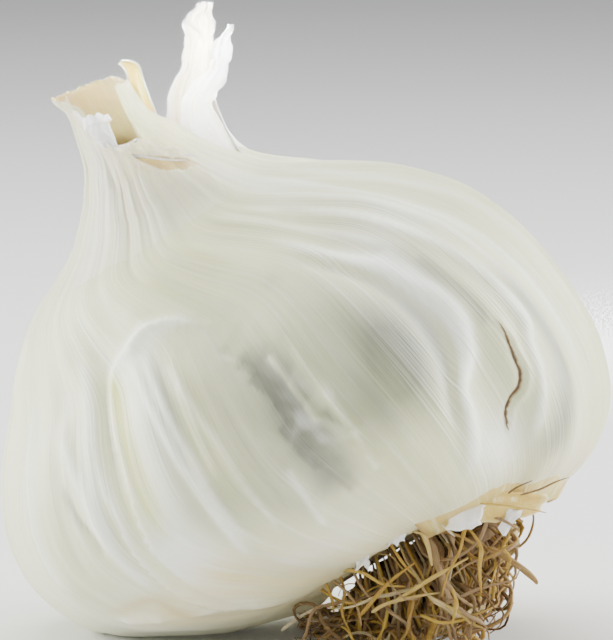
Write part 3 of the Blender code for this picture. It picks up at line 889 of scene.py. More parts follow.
rootLook = {"Roughness": 0.75, "Specular IOR Level": 0.15, "Subsurface Weight": 0.08,
            "Subsurface Scale": 0.0005}
rootTones = (  # place on the strand's own tone, colour
    (0.0, (0.1, 0.06, 0.03)), (0.25, (0.22, 0.14, 0.07)), (0.45, (0.4, 0.28, 0.16)),
    (0.62, (0.45, 0.28, 0.06)), (0.82, (0.66, 0.46, 0.1)), (1.0, (0.8, 0.71, 0.5)),
)


def rootMaterial():
    made, shader = startMaterial("dry root", (0.4, 0.28, 0.14), rootLook)
    nodes, links = made.node_tree.nodes, made.node_tree.links
    ramp = nodes.new("ShaderNodeValToRGB")
    while len(ramp.color_ramp.elements) < len(rootTones):
        ramp.color_ramp.elements.new(0.5)
    for element, (place, colour) in zip(ramp.color_ramp.elements, rootTones):
        element.position = place
        element.color = (*colour, 1.0)
    links.new(addMask(made, "tone"), ramp.inputs["Fac"])
    streaks = addStreaks(made, 5.0, 2.0, 0.05, 0.35, 0.65)
    colour = addMix(made, ramp.outputs["Color"], (0.14, 0.08, 0.02), addTimes(made, streaks, 0.5))
    colour = addMix(made, colour, (0.6, 0.43, 0.14), addPatches(made, 700.0, 0.6, 0.85))
    links.new(colour, shader.inputs["Base Color"])
    addBump(made, shader, ((streaks, 0.5, 0.15), (addPatches(made, 1500.0, 0.3, 0.7), 0.3, 0.1)))
    return made


garlicSkin = skinMaterial()
leafPaper = paperMaterial("dry leaf", (0.96, 0.95, 0.92), (0.9, 0.87, 0.74), (0.84, 0.75, 0.48),
                          (0.96, 0.95, 0.92), across=9.0, veinAt=(0.6, 0.7))
creamPaper = paperMaterial("cream leaf", (0.92, 0.88, 0.74), (0.84, 0.77, 0.52), (0.76, 0.63, 0.34),
                           (0.95, 0.93, 0.86), across=10.0, veinAt=(0.52, 0.66))
goldPaper = paperMaterial("golden leaf", (0.84, 0.66, 0.13), (0.78, 0.55, 0.08), (0.92, 0.82, 0.42),
                          (0.92, 0.88, 0.66), across=5.0)
dryLook = {"Sheen Weight": 0.05, "Coat Weight": 0.0, "Specular IOR Level": 0.25}
huskPaper = paperMaterial("tan husk", (0.76, 0.62, 0.22), (0.62, 0.44, 0.11), (0.88, 0.81, 0.48),
                          (0.5, 0.32, 0.12), dryLook, across=14.0)
goldHusk = paperMaterial("golden husk", (0.78, 0.6, 0.17), (0.62, 0.42, 0.1), (0.9, 0.83, 0.5),
                         (0.84, 0.72, 0.34), dryLook, across=6.0)
scrapPaper = paperMaterial("white scrap", (0.88, 0.88, 0.85), (0.78, 0.77, 0.72), (0.93, 0.93, 0.9),
                           (0.88, 0.86, 0.8), across=9.0)
rootFibre = rootMaterial()
print("materials ready")


# ---- The outer skin of the cloves with the neck's tube
def fibreVector(turn, share):
    angle = np.radians(fibreLabel(turn, share))
    return np.stack((np.cos(angle), np.sin(angle), share), axis=-1)


skinMasks = ("green", "cream", "blush", "tan", "tear", "torn_edge_and_shadow", "shade", "light")


maskForm = {  # shares where each tint begins and ends, or its turn and width
    "rootEnd": (0.08, 0.36),
    "neckFoot": (0.85, 1.1),
    "underside": (0.34, 0.45),
    "undersideTurn": (-122.0, 30.0),
    "shoulder": (0.64, 0.85),
    "shoulderTurn": (-80.0, 46.0),
    "blushRise": (0.8, 1.0),
    "blushFade": (1.3, 1.7),
    "blushTurn": (-95.0, 45.0),
    "slitTurn": ((-96.0, -88.0), (-52.0, -44.0)),
    "slitRoute": ((-90.0, -70.0, -54.0), (47.9, 46.5, 45.0)),
    "slitWidth": 1.4,
    "hollow": (0.015, 0.07),
    "tearReach": (0.45, 0.9),
}


def fillMasks(bm, verts, points, turn, share, folds, height, inner):
    # where the skin is tinted, and where painted shade and painted highlights go: all masks from 0 to 1, and
    # the distance from the tear
    sag, facet = crumple(turn, share)
    tear = tearDistance(points, turn, share)
    under = (1.0 - smoothStep(*maskForm["underside"], share)) * hump(turn, *maskForm["undersideTurn"])
    shoulder = smoothStep(*maskForm["shoulder"], share) * hump(turn, *maskForm["shoulderTurn"])
    blush = smoothStep(*maskForm["blushRise"], share) * (1.0 - smoothStep(*maskForm["blushFade"], share))
    # the tan lining of the neck, the slit's floor and the root end
    (slitRise, slitFull), (slitFading, slitEnd) = maskForm["slitTurn"]
    slit = smoothStep(slitRise, slitFull, turn) * (1.0 - smoothStep(slitFading, slitEnd, turn))
    slit = slit * hump(height, np.interp(turn, *maskForm["slitRoute"]), maskForm["slitWidth"])
    tan = np.where(inner, 1.0, np.clip(1.5 * slit + tintAt("tan", points, turn, share), 0.0, 1.0))
    masks = {
        "cream": 0.8 * (1.0 - smoothStep(*maskForm["rootEnd"], share))
        + 0.3 * smoothStep(*maskForm["neckFoot"], share) + 0.55 * under,
        "green": tintAt("green", points, turn, share) + 0.4 * shoulder,
        "blush": 0.6 * blush * hump(turn, *maskForm["blushTurn"]),
        "tan": np.maximum(tan, 0.9 * (1.0 - smoothStep(*maskForm["hollow"], share))),
        # near the tear: its tan edge and the painted shadow inside the crack
        "torn_edge_and_shadow": 1.0 - smoothStep(*maskForm["tearReach"], np.abs(tear)),
        # painted shade: the darker facets of the crumpled valley, the shade routes and patches, and darkening
        # in the creases of the relief
        "shade": 0.13 * sag * smoothStep(0.1, -0.4, facet) + tintAt("shade", points, turn, share)
        + 0.6 * smoothStep(0.04, 0.45, -folds),
        # painted highlights: on the raised folds and facets, and along the light routes and patches
        "light": 0.85 * smoothStep(0.06, 0.42, folds) + 0.4 * sag * smoothStep(0.1, 0.6, facet)
        + tintAt("light", points, turn, share),
    }
    for name, values in masks.items():
        if name in skinForm["patches"]:
            values = values + patchAt(name, turn, share)
        fillLayer(bm, verts, name, np.clip(values, 0.0, 1.0))
    fillLayer(bm, verts, "tear", np.clip(tear + 0.1, -3.0, 3.0))


def makeSkin():
    bm = startMesh(*skinMasks)
    verts, u, v = addGrid(bm, skinForm["columns"], skinForm["rows"])
    turn, share, inner = skinSurface(u, v)
    turn = (turn + 180.0) % 360.0 - 180.0
    smooth = basePoint(turn, share)
    folds = foldsAt(smooth, turn, share)
    points = smooth + outwardAt(turn, share) * skinRelief(smooth, turn, share, folds)[:, None]
    points[inner] = neckPoint(turn[inner], share[inner] - 1.0, skinForm["neckWall"])
    world = toWorld(points)
    world[:, 2] = np.maximum(world[:, 2], 0.0)
    moveTo(verts, world * mm)
    fillFibre(bm, verts, fibreVector(turn, share))
    fillMasks(bm, verts, smooth, turn, share, folds, toBulb(world)[:, 2], inner)
    bmesh.ops.remove_doubles(bm, verts=bm.verts[:], dist=1e-7)
    closeEnds(bm)
    bmesh.ops.recalc_face_normals(bm, faces=bm.faces[:])
    return finishPiece("clove_skin", bm, garlicSkin, "bulb")


makeSkin()


# ---- Thin sheets: place(across, along) gives points in the row frame, in millimetres
def makeSheet(name, columns, rows, place, material, node=None, thickness=0.16,
              length=3.0, width=1.0, edgeWidth=0.12):
    bm = startMesh("edge")
    verts, across, along = addGrid(bm, columns, rows)
    moveTo(verts, place(across, along) * mm)
    fillFibre(bm, verts, np.stack((across * width, np.zeros_like(along), along * length), axis=-1))
    margin = np.minimum(across, 1.0 - across) / edgeWidth
    margin = np.minimum(margin, (1.0 - along) / (edgeWidth * 0.7))
    fillLayer(bm, verts, "edge", np.clip(1.0 - margin, 0.0, 1.0))
    addWall(bm, thickness)
    return finishPiece(name, bm, material, node)


sheathForm = {
    "foot": 0.84,
    "edge": (  # turn and height of the torn edge
        (-178, 56.4), (-165, 56.2), (-150, 55.7), (-135, 55.0), (-128, 54.5), (-122, 53.5), (-116, 52.4),
        (-110, 51.2), (-103, 50.4), (-91, 50.0), (-80, 49.8), (-73, 49.8), (-69, 49.2), (-61, 47.4),
        (-54, 46.4), (-48, 45.9),
    ),
    "lift": 0.4,
    "sink": 0.16,
    "slit": ((-90, 48.7), (-80, 47.9), (-70, 46.9), (-62, 46.0), (-54, 45.1), (-48, 44.5)),
    "slitDrop": 1.7,        # the slit shows the skin below
    "body": 0.42,           # share of the rows on the shoulder
    "edgeTears": ((0.2, 26.0, 21), (0.12, 80.0, 22)),   # size, waves and seed
    "lip": (0.85, 1.0),
    "lipRise": (0.15, 0.2, 14.0, 23),       # height, its change, waves and seed
    "sides": (0.05, 0.03),
    "liftRun": (0.06, 0.6),
    "sinkRun": (0.0, 0.3),
    "shareTop": 0.985,
    "slitEase": 0.6,
    "cream": (0.3, 0.45, (-85.0, 24.0), (0.9, 1.1)),
    "blush": (0.75, (0.86, 1.0), (-95.0, 40.0)),
    # painted shade below the rolled edge on the front, and painted highlights along the lip and on the left
    # side
    "shade": (0.3, (-80.0, 16.0), (46.6, 1.8)),
    "light": ((0.8, (0.9, 1.0)), (0.5, (-130.0, 9.0))),
    "grid": (220, 110),
    "thickness": 0.1,
}


def sheathSpot(across, along):
    # turn, share and height of a point of the torn outer skin
    edge = np.array(sheathForm["edge"], float)
    turn = edge[0, 0] + (edge[-1, 0] - edge[0, 0]) * across
    top = np.interp(turn, edge[:, 0], edge[:, 1])
    for size, waves, seed in sheathForm["edgeTears"]:
        top = top + size * softNoise(across * waves, 0.0, seed)
    body = sheathForm["body"]
    share = sheathForm["foot"] + (1.0 - sheathForm["foot"]) * np.minimum(along / body, 1.0)
    foot = skinPoint(turn, np.ones_like(turn))[..., 2]
    up = np.clip((along - body) / (1.0 - body), 0.0, 1.0)
    height = foot + (top - foot) * up
    share = np.where(along > body, 1.0 + (height - foot) / (rimHeight(turn) - foot), share)
    return turn, share, height, up


def sheathPoints(turn, share, height, up, across, along):
    # lifted off the skin by its own thickness, sunk into it along its foot
    first, last = sheathForm["sides"]
    side = smoothStep(0.0, first, across) * smoothStep(0.0, last, 1.0 - across)
    rise = sheathForm["lift"] * smoothStep(*sheathForm["liftRun"], along) * side
    rise = rise - sheathForm["sink"] * (1.0 - smoothStep(*sheathForm["sinkRun"], along) * side)
    lipHeight, change, waves, seed = sheathForm["lipRise"]
    lip = smoothStep(*sheathForm["lip"], along)
    rise = rise + lip * (lipHeight + change * softNoise(across * waves, 2.0, seed))
    body = basePoint(turn, np.minimum(share, 1.0))
    rise = rise + skinRelief(body, turn, np.minimum(share, 1.6), foldsAt(body, turn, np.minimum(share, 1.0)))
    onNeck = up > 0.0
    foot = skinPoint(turn, np.ones_like(turn))[..., 2]
    base = np.where(onNeck[:, None], collarPoint(turn, height, 0.0) + footEase(turn, height - foot), body)
    radial = np.stack((np.cos(np.radians(turn)), np.sin(np.radians(turn)), np.zeros_like(turn)), axis=-1)
    upright = smoothStep(0.0, bulbForm["footRun"], height - foot)[:, None] * onNeck[:, None]
    out = outwardAt(turn, np.minimum(share, sheathForm["shareTop"])) * (1.0 - upright)
    out = normalised(out + radial * upright)
    return base + out * rise[:, None]


def makeSheath():
    bm = startMesh(*skinMasks)
    verts, across, along = addGrid(bm, *sheathForm["grid"])
    turn, share, height, up = sheathSpot(across, along)
    points = sheathPoints(turn, share, height, up, across, along)
    moveTo(verts, toWorld(points) * mm)
    fillFibre(bm, verts, fibreVector(turn, share))
    least, more, spot, run = sheathForm["cream"]
    front = hump(turn, *spot) * smoothStep(*run, share)
    fillLayer(bm, verts, "cream", np.clip(least + more * front, 0.0, 1.0))
    strength, run, spot = sheathForm["blush"]
    fillLayer(bm, verts, "blush", strength * smoothStep(*run, share) * hump(turn, *spot))
    # painted shade and painted highlights of the torn outer skin
    strength, spot, run = sheathForm["shade"]
    fillLayer(bm, verts, "shade", strength * hump(turn, *spot) * hump(height, *run))
    (atEdge, run), (onSide, spot) = sheathForm["light"]
    fillLayer(bm, verts, "light", atEdge * smoothStep(*run, along) + onSide * hump(turn, *spot))
    # the slit below the rolled edge
    slit = np.array(sheathForm["slit"], float)
    brow = np.interp(turn, slit[:, 0], slit[:, 1])
    reach = np.where(up > 0.0, height, height - (1.0 - share) * bulbForm["shareRun"])
    place = (turn - slit[0, 0]) / (slit[-1, 0] - slit[0, 0])
    ease = sheathForm["slitEase"]
    depth = sheathForm["slitDrop"] * np.clip(np.sin(np.pi * np.clip(place, 0.0, 1.0)), 0.0, 1.0) ** ease
    cut = (place > 0.0) & (place < 1.0) & (reach < brow) & (reach > brow - depth)
    bmesh.ops.delete(bm, geom=[vert for vert, gone in zip(verts, cut) if gone], context="VERTS")
    addWall(bm, sheathForm["thickness"])
    return finishPiece("neck_skin", bm, garlicSkin, "neck_sheath")


makeSheath()


tabForm = {  # rows from the foot to the fold and its end
    "wideAt": ((0.0, 0.3, 0.7, 1.0), (8.0, 22.0, 31.0, 31.0)),
    "middleAt": ((0.0, 0.5, 0.8, 1.0), (-101.0, -104.0, -103.0, -101.0)),
    "heightAt": ((0.0, 0.45, 0.75, 0.88, 1.0), (49.9, 51.9, 53.5, 53.7, 53.0)),
    "outAt": ((0.0, 0.45, 0.75, 0.88, 1.0), (0.55, 1.0, 0.9, 1.5, 1.9)),
    "waveAt": ((0.0, 0.35, 1.0), (0.04, 0.36, 0.27)),
    "waves": 9.0,
    "heightNoise": (0.3, 6.0, 5.0, 31),     # size, waves, rows and seed
    "tilt": 0.5,
    "outNoise": (0.4, 5.0, 6.0, 32),
}


def tabPlace(across, along):
    # the frayed flap folded over the front of the torn edge
    middle, wide, height, out, wave = (
        np.interp(along, *tabForm[row]) for row in ("middleAt", "wideAt", "heightAt", "outAt", "waveAt")
    )
    turn = middle + (across - 0.5) * wide
    size, waves, rows, seed = tabForm["heightNoise"]
    height = height + size * softNoise(across * waves, along * rows, seed) + tabForm["tilt"] * (0.5 - across)
    size, waves, rows, seed = tabForm["outNoise"]
    out = out + size * softNoise(across * waves + 9.0, along * rows, seed)
    return toWorld(neckAt(turn, height, out + np.sin(across * tabForm["waves"]) * wave))


makeSheet("neck_tab", 34, 50, tabPlace, scrapPaper, thickness=0.12, width=1.4, length=1.2)


# ---- The tall forked leaf: rows of (height, left edge, right edge, depth)
leafForm = {
    "back": (
        (46.9, -13.6, -9.0, 0.6), (48.6, -13.9, -8.9, 1.2), (50.3, -14.1, -8.9, 1.7),
        (51.9, -13.5, -9.0, 1.8), (53.8, -12.7, -9.1, 1.8), (55.2, -12.1, -9.0, 1.7),
        (56.6, -11.8, -8.9, 1.5), (57.5, -11.6, -8.9, 1.4), (58.4, -11.7, -8.9, 1.3),
        (59.3, -11.9, -8.9, 1.2), (60.1, -11.5, -9.1, 1.0), (60.9, -10.8, -8.9, 0.8),
        (61.42, -10.3, -9.0, 0.7),
    ),
    "front": (
        (46.2, -12.3, -3.6, -0.6), (47.0, -12.4, -4.9, -0.3), (48.2, -12.3, -6.6, 0.1),
        (49.4, -12.2, -7.9, 0.3), (50.6, -12.2, -8.6, 0.4), (51.8, -12.0, -9.0, 0.5),
        (52.9, -11.5, -8.4, 0.5), (53.9, -10.8, -7.7, 0.4),
        (54.8, -9.7, -7.5, 0.3), (55.6, -9.2, -7.4, 0.2), (56.5, -9.1, -7.2, 0.2), (57.8, -8.7, -7.2, 0.2),
        (58.6, -7.9, -7.1, 0.2), (59.35, -7.5, -6.95, 0.2),
    ),
    "bend": 0.35,
    "ripples": ((0.22, 4.0, 9.0), (0.1, 12.0, 12.0)),      # size, waves and rows
    "edge": (0.14, 26.0),
    "foot": (0.985, 0.09, -0.4),
    "footRun": 0.3,
}


def leafPlace(rows, footFrom, footTo, curl, seed):
    table = smoothCurve(rows)

    def place(across, along):
        row = readCurve(table, along)
        height, left, right, depth = (row[..., i] for i in range(4))
        half = 0.5 * (right - left)
        bend = curl * np.sin(np.pi * across) * half * leafForm["bend"]
        ripple = sum(
            size * softNoise(across * waves, along * steps, seed + i)
            for i, (size, waves, steps) in enumerate(leafForm["ripples"])
        )
        size, steps = leafForm["edge"]
        edge = size * softNoise((across > 0.5) * 5.0, along * steps, seed + 2)
        x = left + (right - left) * across + edge * np.abs(2.0 * across - 1.0)
        free = np.stack((x, depth + bend + ripple, height), axis=-1)
        turn = footFrom + (footTo - footFrom) * across
        share, drop, lift = leafForm["foot"]
        foot = wrapPoint(turn, share - drop * across, lift)
        t = smoothStep(0.0, leafForm["footRun"], along)[..., None]
        return foot * (1.0 - t) + free * t

    return place


makeSheet("leaf_back", 40, 130, leafPlace(leafForm["back"], 60.0, -20.0, 1.0, 41), creamPaper, "tall_leaf",
          0.16, 2.0, 1.0, 0.08)
makeSheet("leaf_front", 50, 130, leafPlace(leafForm["front"], -38.0, 6.0, -1.0, 51), leafPaper, None,
          0.16, 2.0, 1.0, 0.08)


goldenRows = (  # height, left edge, right edge, depth
    (49.3, -3.4, -1.5, 1.9), (51.2, -2.9, -1.2, 2.0), (53.1, -2.35, -0.87, 2.0), (54.5, -2.0, -0.6, 1.9),
    (55.4, -1.75, -0.38, 1.8), (56.1, -1.75, -0.8, 1.6), (56.6, -1.85, -1.5, 1.3),
)


def goldenPlace(across, along):
    row = readCurve(smoothCurve(goldenRows), along)
    x = row[..., 1] + (row[..., 2] - row[..., 1]) * across
    depth = row[..., 3] + 0.25 * np.sin(np.pi * across)
    return toWorld(np.stack((x, depth, row[..., 0]), axis=-1))


makeSheet("golden_strip", 10, 50, goldenPlace, goldPaper, "golden_leaf", 0.2, 1.6, 0.6, 0.16)


# ---- Loose husk round the root end
huskForm = {
    "tears": (22.0, 61.0),
    "tear": 0.012,
    "topAt": ((-62.0, -14.0), (0.03, -0.05)),
    "curl": 1.5,
    "ripple": (0.18, 16.0, 3.0),
}


def huskPlace(turnFrom, turnTo, shareTop, shareLow, liftTop, liftLow, seed):
    def place(across, along):
        turn = turnFrom + (turnTo - turnFrom) * across
        broad, fine = huskForm["tears"]
        tear = softNoise(across * broad, 0.0, seed) + 0.5 * softNoise(across * fine, 0.0, seed + 1)
        low = shareLow + huskForm["tear"] * tear
        top = shareTop + np.interp(turn, *huskForm["topAt"])
        share = top + (low - top) * along
        lift = liftTop + (liftLow - liftTop) * along ** huskForm["curl"]
        size, waves, rows = huskForm["ripple"]
        lift += size * softNoise(across * waves, along * rows, seed + 2) * along
        return wrapPoint(turn, share, lift)

    return place


makeSheet("husk_outer", 150, 14, huskPlace(-84.0, 66.0, 0.2, 0.1, -0.05, 1.1, 61), huskPaper, "base_skin",
          0.14, 0.6, 3.0, 0.02)
makeSheet("husk_inner", 110, 12, huskPlace(-66.0, 62.0, 0.12, 0.03, 0.1, 1.2, 71), huskPaper, None,
          0.14, 0.6, 3.0, 0.02)


def scrapPlace(bulge, seed, corners):
    # a torn flap between four corners: two of its foot, then two of its free edge
    low0, low1, high1, high0 = np.array(corners, float)

    def place(across, along):
        a, b = across[:, None], along[:, None]
        flat = (low0 * (1 - a) + low1 * a) * (1 - b) + (high0 * (1 - a) + high1 * a) * b
        wave = bulge * np.sin(np.pi * across) + 0.3 * softNoise(across * 3.0 + seed, along * 3.0, seed)
        flat[:, 1] -= wave
        flat[:, 0] += 0.35 * softNoise(0.0, along * 5.0, seed + 1) * (across - 0.5)
        flat[:, 2] += 0.35 * softNoise(across * 7.0, 0.0, seed + 2) * along
        return flat

    return place


scraps = {  # bulge, seed and corners
    "scrap_large": (0.4, 91, ((13.6, -14.6, 15.6), (16.9, -14.6, 15.2), (16.4, -15.2, 13.2),
                            (13.2, -15, 12.6))),
    "scrap_right": (0.3, 94, ((19.2, -12.4, 14.5), (20.5, -12.2, 14.3), (18.9, -12.8, 12),
                            (18.1, -12.7, 12.6))),
    "scrap_middle": (0.3, 97, ((7.9, -15, 13.2), (9.6, -15.2, 13.5), (9.3, -15.5, 11.9), (7.5, -15.2, 11.2))),
    "scrap_left": (0.3, 100, ((4.6, -14, 10.9), (6, -14.2, 11.2), (5.9, -14.5, 9.4), (4.7, -14.2, 9.1))),
}
goldFlap = (0.2, 111, ((15.6, -15.3, 16.8), (23, -11.2, 15.6), (22.4, -9.8, 13.5), (16.2, -13.6, 13.6)))
for name, scrap in scraps.items():
    makeSheet(name, 14, 14, scrapPlace(*scrap), scrapPaper, thickness=0.12)
makeSheet("husk_gold", 24, 20, scrapPlace(*goldFlap), goldHusk, thickness=0.14)


# ---- Strands: closed flat tubes along smooth paths
strandForm = {
    "samples": 240,
    "ahead": 0.02,
    "across": (0.13, 0.21, 1.0),
    "taperAt": ((0.0, 0.08, 0.6, 1.0), (0.55, 1.0, 0.85, 0.3)),
    "floor": 0.02,          # the lowest height of a strand
    "fibre": (9.0, 3.0),
}


def addStrand(bm, path, halfWidth, halfThick, tone, sides=6, steps=12, twist=0.0):
    verts, around, along = addGrid(bm, sides, steps)
    table = smoothCurve(path, strandForm["samples"])
    centre = readCurve(table, along)
    step = strandForm["ahead"]
    ahead = normalised(readCurve(table, along + step) - readCurve(table, along - step))
    side = normalised(np.cross(ahead, np.array(strandForm["across"])))
    rise = np.cross(side, ahead)
    taper = np.interp(along, *strandForm["taperAt"])
    angle = 2.0 * np.pi * around
    spin = twist * along
    a, b = np.cos(angle) * halfWidth * taper, np.sin(angle) * halfThick * taper
    x, y = a * np.cos(spin) - b * np.sin(spin), a * np.sin(spin) + b * np.cos(spin)
    points = centre + side * x[:, None] + rise * y[:, None]
    points[:, 2] = np.maximum(points[:, 2], strandForm["floor"])
    moveTo(verts, points * mm)
    shift, length = strandForm["fibre"]
    fillFibre(bm, verts, np.stack((np.cos(angle), np.sin(angle) + tone * shift, along * length), axis=-1))
    fillLayer(bm, verts, "tone", np.full(len(verts), tone))
    bmesh.ops.remove_doubles(bm, verts=verts, dist=1e-7)


neckStrands = (  # route of (turn, height), lift, half width, half thickness
    (((-93, 49.0), (-84, 48.45), (-75, 47.65), (-66, 46.5), (-60, 45.9)), 0.55, 0.24, 0.12),
    (((-69, 49.3), (-61, 47.3), (-54, 46.2), (-48, 45.6)), 0.5, 0.2, 0.12),
    (((-97, 49.5), (-85, 48.9), (-74, 48.2), (-66, 47.3), (-57, 46.2)), 0.5, 0.16, 0.1),
    (((-120, 51.6), (-110, 50.75), (-103, 50.35), (-91, 49.95), (-80, 49.8), (-72, 49.85), (-66, 49.0)),
     0.5, 0.26, 0.2),
)


def makeNeckStrands():
    # pale torn fibres that cross the front of the neck, and its rolled edge
    bm = startMesh("tone")
    for route, lift, width, thick in neckStrands:
        line = readCurve(smoothCurve(route, 200), np.linspace(0, 1, 12))
        path = toWorld(collarPoint(line[:, 0], line[:, 1], lift))
        addStrand(bm, path, width, thick, 1.0, 8, 40, 0.4)
    closeEnds(bm)
    bmesh.ops.recalc_face_normals(bm, faces=bm.faces[:])
    return finishPiece("neck_strands", bm, scrapPaper, None)


makeNeckStrands()


rootForm = {
    "count": 250,
    "reach": 8.8,
    "box": ((-1.5, 20.4), (-13.6, 11.5), (0.3, 14.0)),
    "lowReach": 17.6,       # the tuft is narrower on the right of its foot
    "step": 1.35,
    "steps": (8, 15),
    "bend": 0.85,
    "ceiling": -1.6,
    "frontRise": 4.6,       # the roots reach higher in front, where the skin is drawn up
    "seed": 7,
    "wall": 1.2,            # roots turn back this far inside the box
    "push": 0.9,
    "fall": -0.12,
    "lowHeight": 5.0,
    "floor": 0.25,
    "frontDepth": 9.0,
    "stem": ((1.0, 0.9), (1.08, -0.4), (1.16, -1.6)),   # share of the reach, height
    "splay": (-0.3, 1.0),
    "curlKept": 0.6,
    "curlNew": 0.7,
    "broadShare": 0.22,
    "broad": {"width": (0.32, 0.5), "flat": 0.35, "tone": 0.62},
    "thin": {"width": (0.13, 0.28), "round": (0.55, 0.9), "tone": 0.45},
    "toneSpread": 0.22,
    "twist": 3.0,
    "placed": (  # path, half width, half thickness, tone
        (((9.1, -14, 13.2), (10.2, -14.2, 12.6), (11, -14.3, 12.3), (11.5, -14, 11.1), (11.9, -13.5, 9.2)),
         0.36, 0.12, 0.86),
        (((8.2, -13, 5.5), (11.2, -13.6, 7.6), (13.2, -13.8, 8.8), (15.3, -13.4, 9.9)), 0.34, 0.2, 0.84),
        (((6.2, -13, 4.6), (7.6, -13.3, 5.5), (10.2, -13.5, 6.2), (12.6, -13, 6.5)), 0.3, 0.18, 0.86),
        (((3.2, -11, 8.2), (4, -12, 8.5), (5.5, -12.8, 8.3), (7.3, -13, 7.3), (9.4, -12.5, 7)),
         0.3, 0.18, 0.82),
        (((5.1, -13.2, 4.3), (7.2, -13.8, 7), (8.8, -14, 8.5), (10.4, -13.6, 9.6)), 0.26, 0.18, 0.62),
        (((7.5, -13, 12), (8, -13.5, 11.2), (9.2, -13.8, 9.4), (10.4, -13.2, 8)), 0.24, 0.14, 0.66),
        (((15.1, -12.5, 13.2), (15.6, -13, 12.4), (16.5, -13.4, 11), (16.4, -13.2, 8.7), (16.6, -12.6, 6.4)),
         0.28, 0.16, 0.7),
        (((15.1, -13, 13.1), (14.9, -13.5, 12.4), (14.5, -13.8, 10.7), (13.4, -13.8, 8.5),
          (12.8, -13.4, 6.2)),
         0.26, 0.16, 0.66),
        (((13.8, -13, 6.9), (14.2, -13.3, 5.5), (13.8, -12.8, 3.2)), 0.28, 0.16, 0.8),
        (((12.7, -12, 5.4), (14.4, -12.6, 4.6), (15.6, -12.4, 3.5), (17.1, -11.5, 2.7)), 0.26, 0.16, 0.84),
        (((17.3, -9, 10.1), (19, -9.5, 9.3), (20.5, -9.8, 8.3), (21.7, -9.6, 7.2), (22, -9.5, 6.7)),
         0.46, 0.34, 0.52),
        (((-2.4, -8, 1.9), (-0.5, -8.4, 3.4), (1.1, -8.6, 4.2), (3.2, -8.5, 5)), 0.24, 0.18, 0.97),
        (((1.7, -11, 7.4), (1.9, -11.5, 7), (2.4, -11.8, 5.7), (2.6, -11.4, 4.3)), 0.24, 0.18, 0.62),
        (((12.3, -14.5, 13.7), (13.2, -14.8, 13), (14, -14.6, 12.2)), 0.2, 0.14, 1.0),
        (((18.4, -10, 13), (19.2, -10.4, 11.6), (18.7, -10.6, 10.4), (19.4, -10.2, 9.2), (19, -9.8, 7.6)),
         0.28, 0.16, 0.72),
        (((2, -10.5, 7.5), (3.5, -11.5, 6.6), (4.8, -12.2, 5), (5.2, -12.4, 3.2)), 0.26, 0.16, 0.5),
        (((3, -10.2, 8.4), (3.6, -11, 6.2), (3.4, -11.4, 4.2), (4.2, -11.6, 2.4)), 0.24, 0.16, 0.6),
        (((4.2, -10.8, 8.8), (5, -11.8, 7.2), (6.2, -12.4, 5.6)), 0.26, 0.16, 0.42),
        (((1.2, -9.8, 6.4), (2.6, -10.8, 5.6), (4.2, -11.4, 5.2), (6, -11.8, 5.6)), 0.24, 0.16, 0.7),
        (((10.8, -12.5, 4.3), (12.7, -12.8, 3.6), (14.8, -12.6, 3.8), (16.5, -12, 4.5)), 0.26, 0.18, 0.78),
    ),
    "edging": (  # red-brown threads of the torn husk
        (((19, -15.6, 16.5), (19.9, -15.5, 17.1), (21.3, -14.9, 17.6)), 0.14, 0.1, 0.2),
        (((20.2, -14.7, 16.2), (22.1, -13.8, 16.6), (23.6, -12.6, 17.1), (24.9, -11.2, 17.3)),
         0.16, 0.1, 0.24),
        (((16.4, -15.4, 15.5), (18.8, -14.2, 15.1), (21.2, -12.2, 14.4), (22.8, -10.7, 13.8)),
         0.14, 0.1, 0.8),
    ),
}


def randomVector(rng):
    return np.array([rng.uniform(-1, 1) for _ in range(3)])


def rootPath(rng):
    form = rootForm
    reach = form["reach"] * math.sqrt(rng.random())
    turn = rng.uniform(0.0, 2.0 * math.pi)
    side = np.array((math.cos(turn), math.sin(turn), 0.0))
    rise = form["frontRise"] * max(0.0, -side[1]) * (reach / form["reach"]) ** 2
    points = list(toWorld(np.array([side * reach * k + (0.0, 0.0, h + rise) for k, h in form["stem"]])))
    heading = points[-1] - points[-2] + side * rng.uniform(*form["splay"])
    curl = randomVector(rng)
    for _ in range(rng.randint(*form["steps"])):
        curl = form["curlKept"] * curl + randomVector(rng) * form["curlNew"]
        pull = np.array((0.0, 0.0, form["fall"]))
        for i, (low, high) in enumerate(form["box"]):
            if i == 0 and points[-1][2] < form["lowHeight"]:
                high = form["lowReach"]
            if points[-1][i] < low + form["wall"]:
                pull[i] += form["push"]
            if points[-1][i] > high - form["wall"]:
                pull[i] -= form["push"]
        x, y, height = toBulb(points[-1])
        if height > form["ceiling"] + form["frontRise"] * min(1.0, max(0.0, -y / form["frontDepth"])):
            pull += np.array((0.2, 0.0, -form["push"]))
        heading = heading / np.linalg.norm(heading) + form["bend"] * curl * 0.6 + pull
        place = points[-1] + heading / np.linalg.norm(heading) * form["step"]
        place[2] = max(place[2], form["floor"])
        points.append(place)
    return np.array(points)


def makeRoots():
    bm = startMesh("tone")
    rng = random.Random(rootForm["seed"])
    for _ in range(rootForm["count"]):
        path = rootPath(rng)
        broad = rng.random() < rootForm["broadShare"]
        kind = rootForm["broad" if broad else "thin"]
        width = rng.uniform(*kind["width"])
        thick = width * (kind["flat"] if broad else rng.uniform(*kind["round"]))
        tone = min(1.0, max(0.0, rng.gauss(kind["tone"], rootForm["toneSpread"])))
        twist = rng.uniform(-rootForm["twist"], rootForm["twist"])
        addStrand(bm, path, width, thick, tone, 6, 2 * len(path), twist)
    for path, width, thick, tone in rootForm["placed"] + rootForm["edging"]:
        addStrand(bm, path, width, thick, tone, 8, 6 * len(path), 0.6)
    closeEnds(bm)
    bmesh.ops.recalc_face_normals(bm, faces=bm.faces[:])
    return finishPiece("root_strands", bm, rootFibre, "root_tuft")


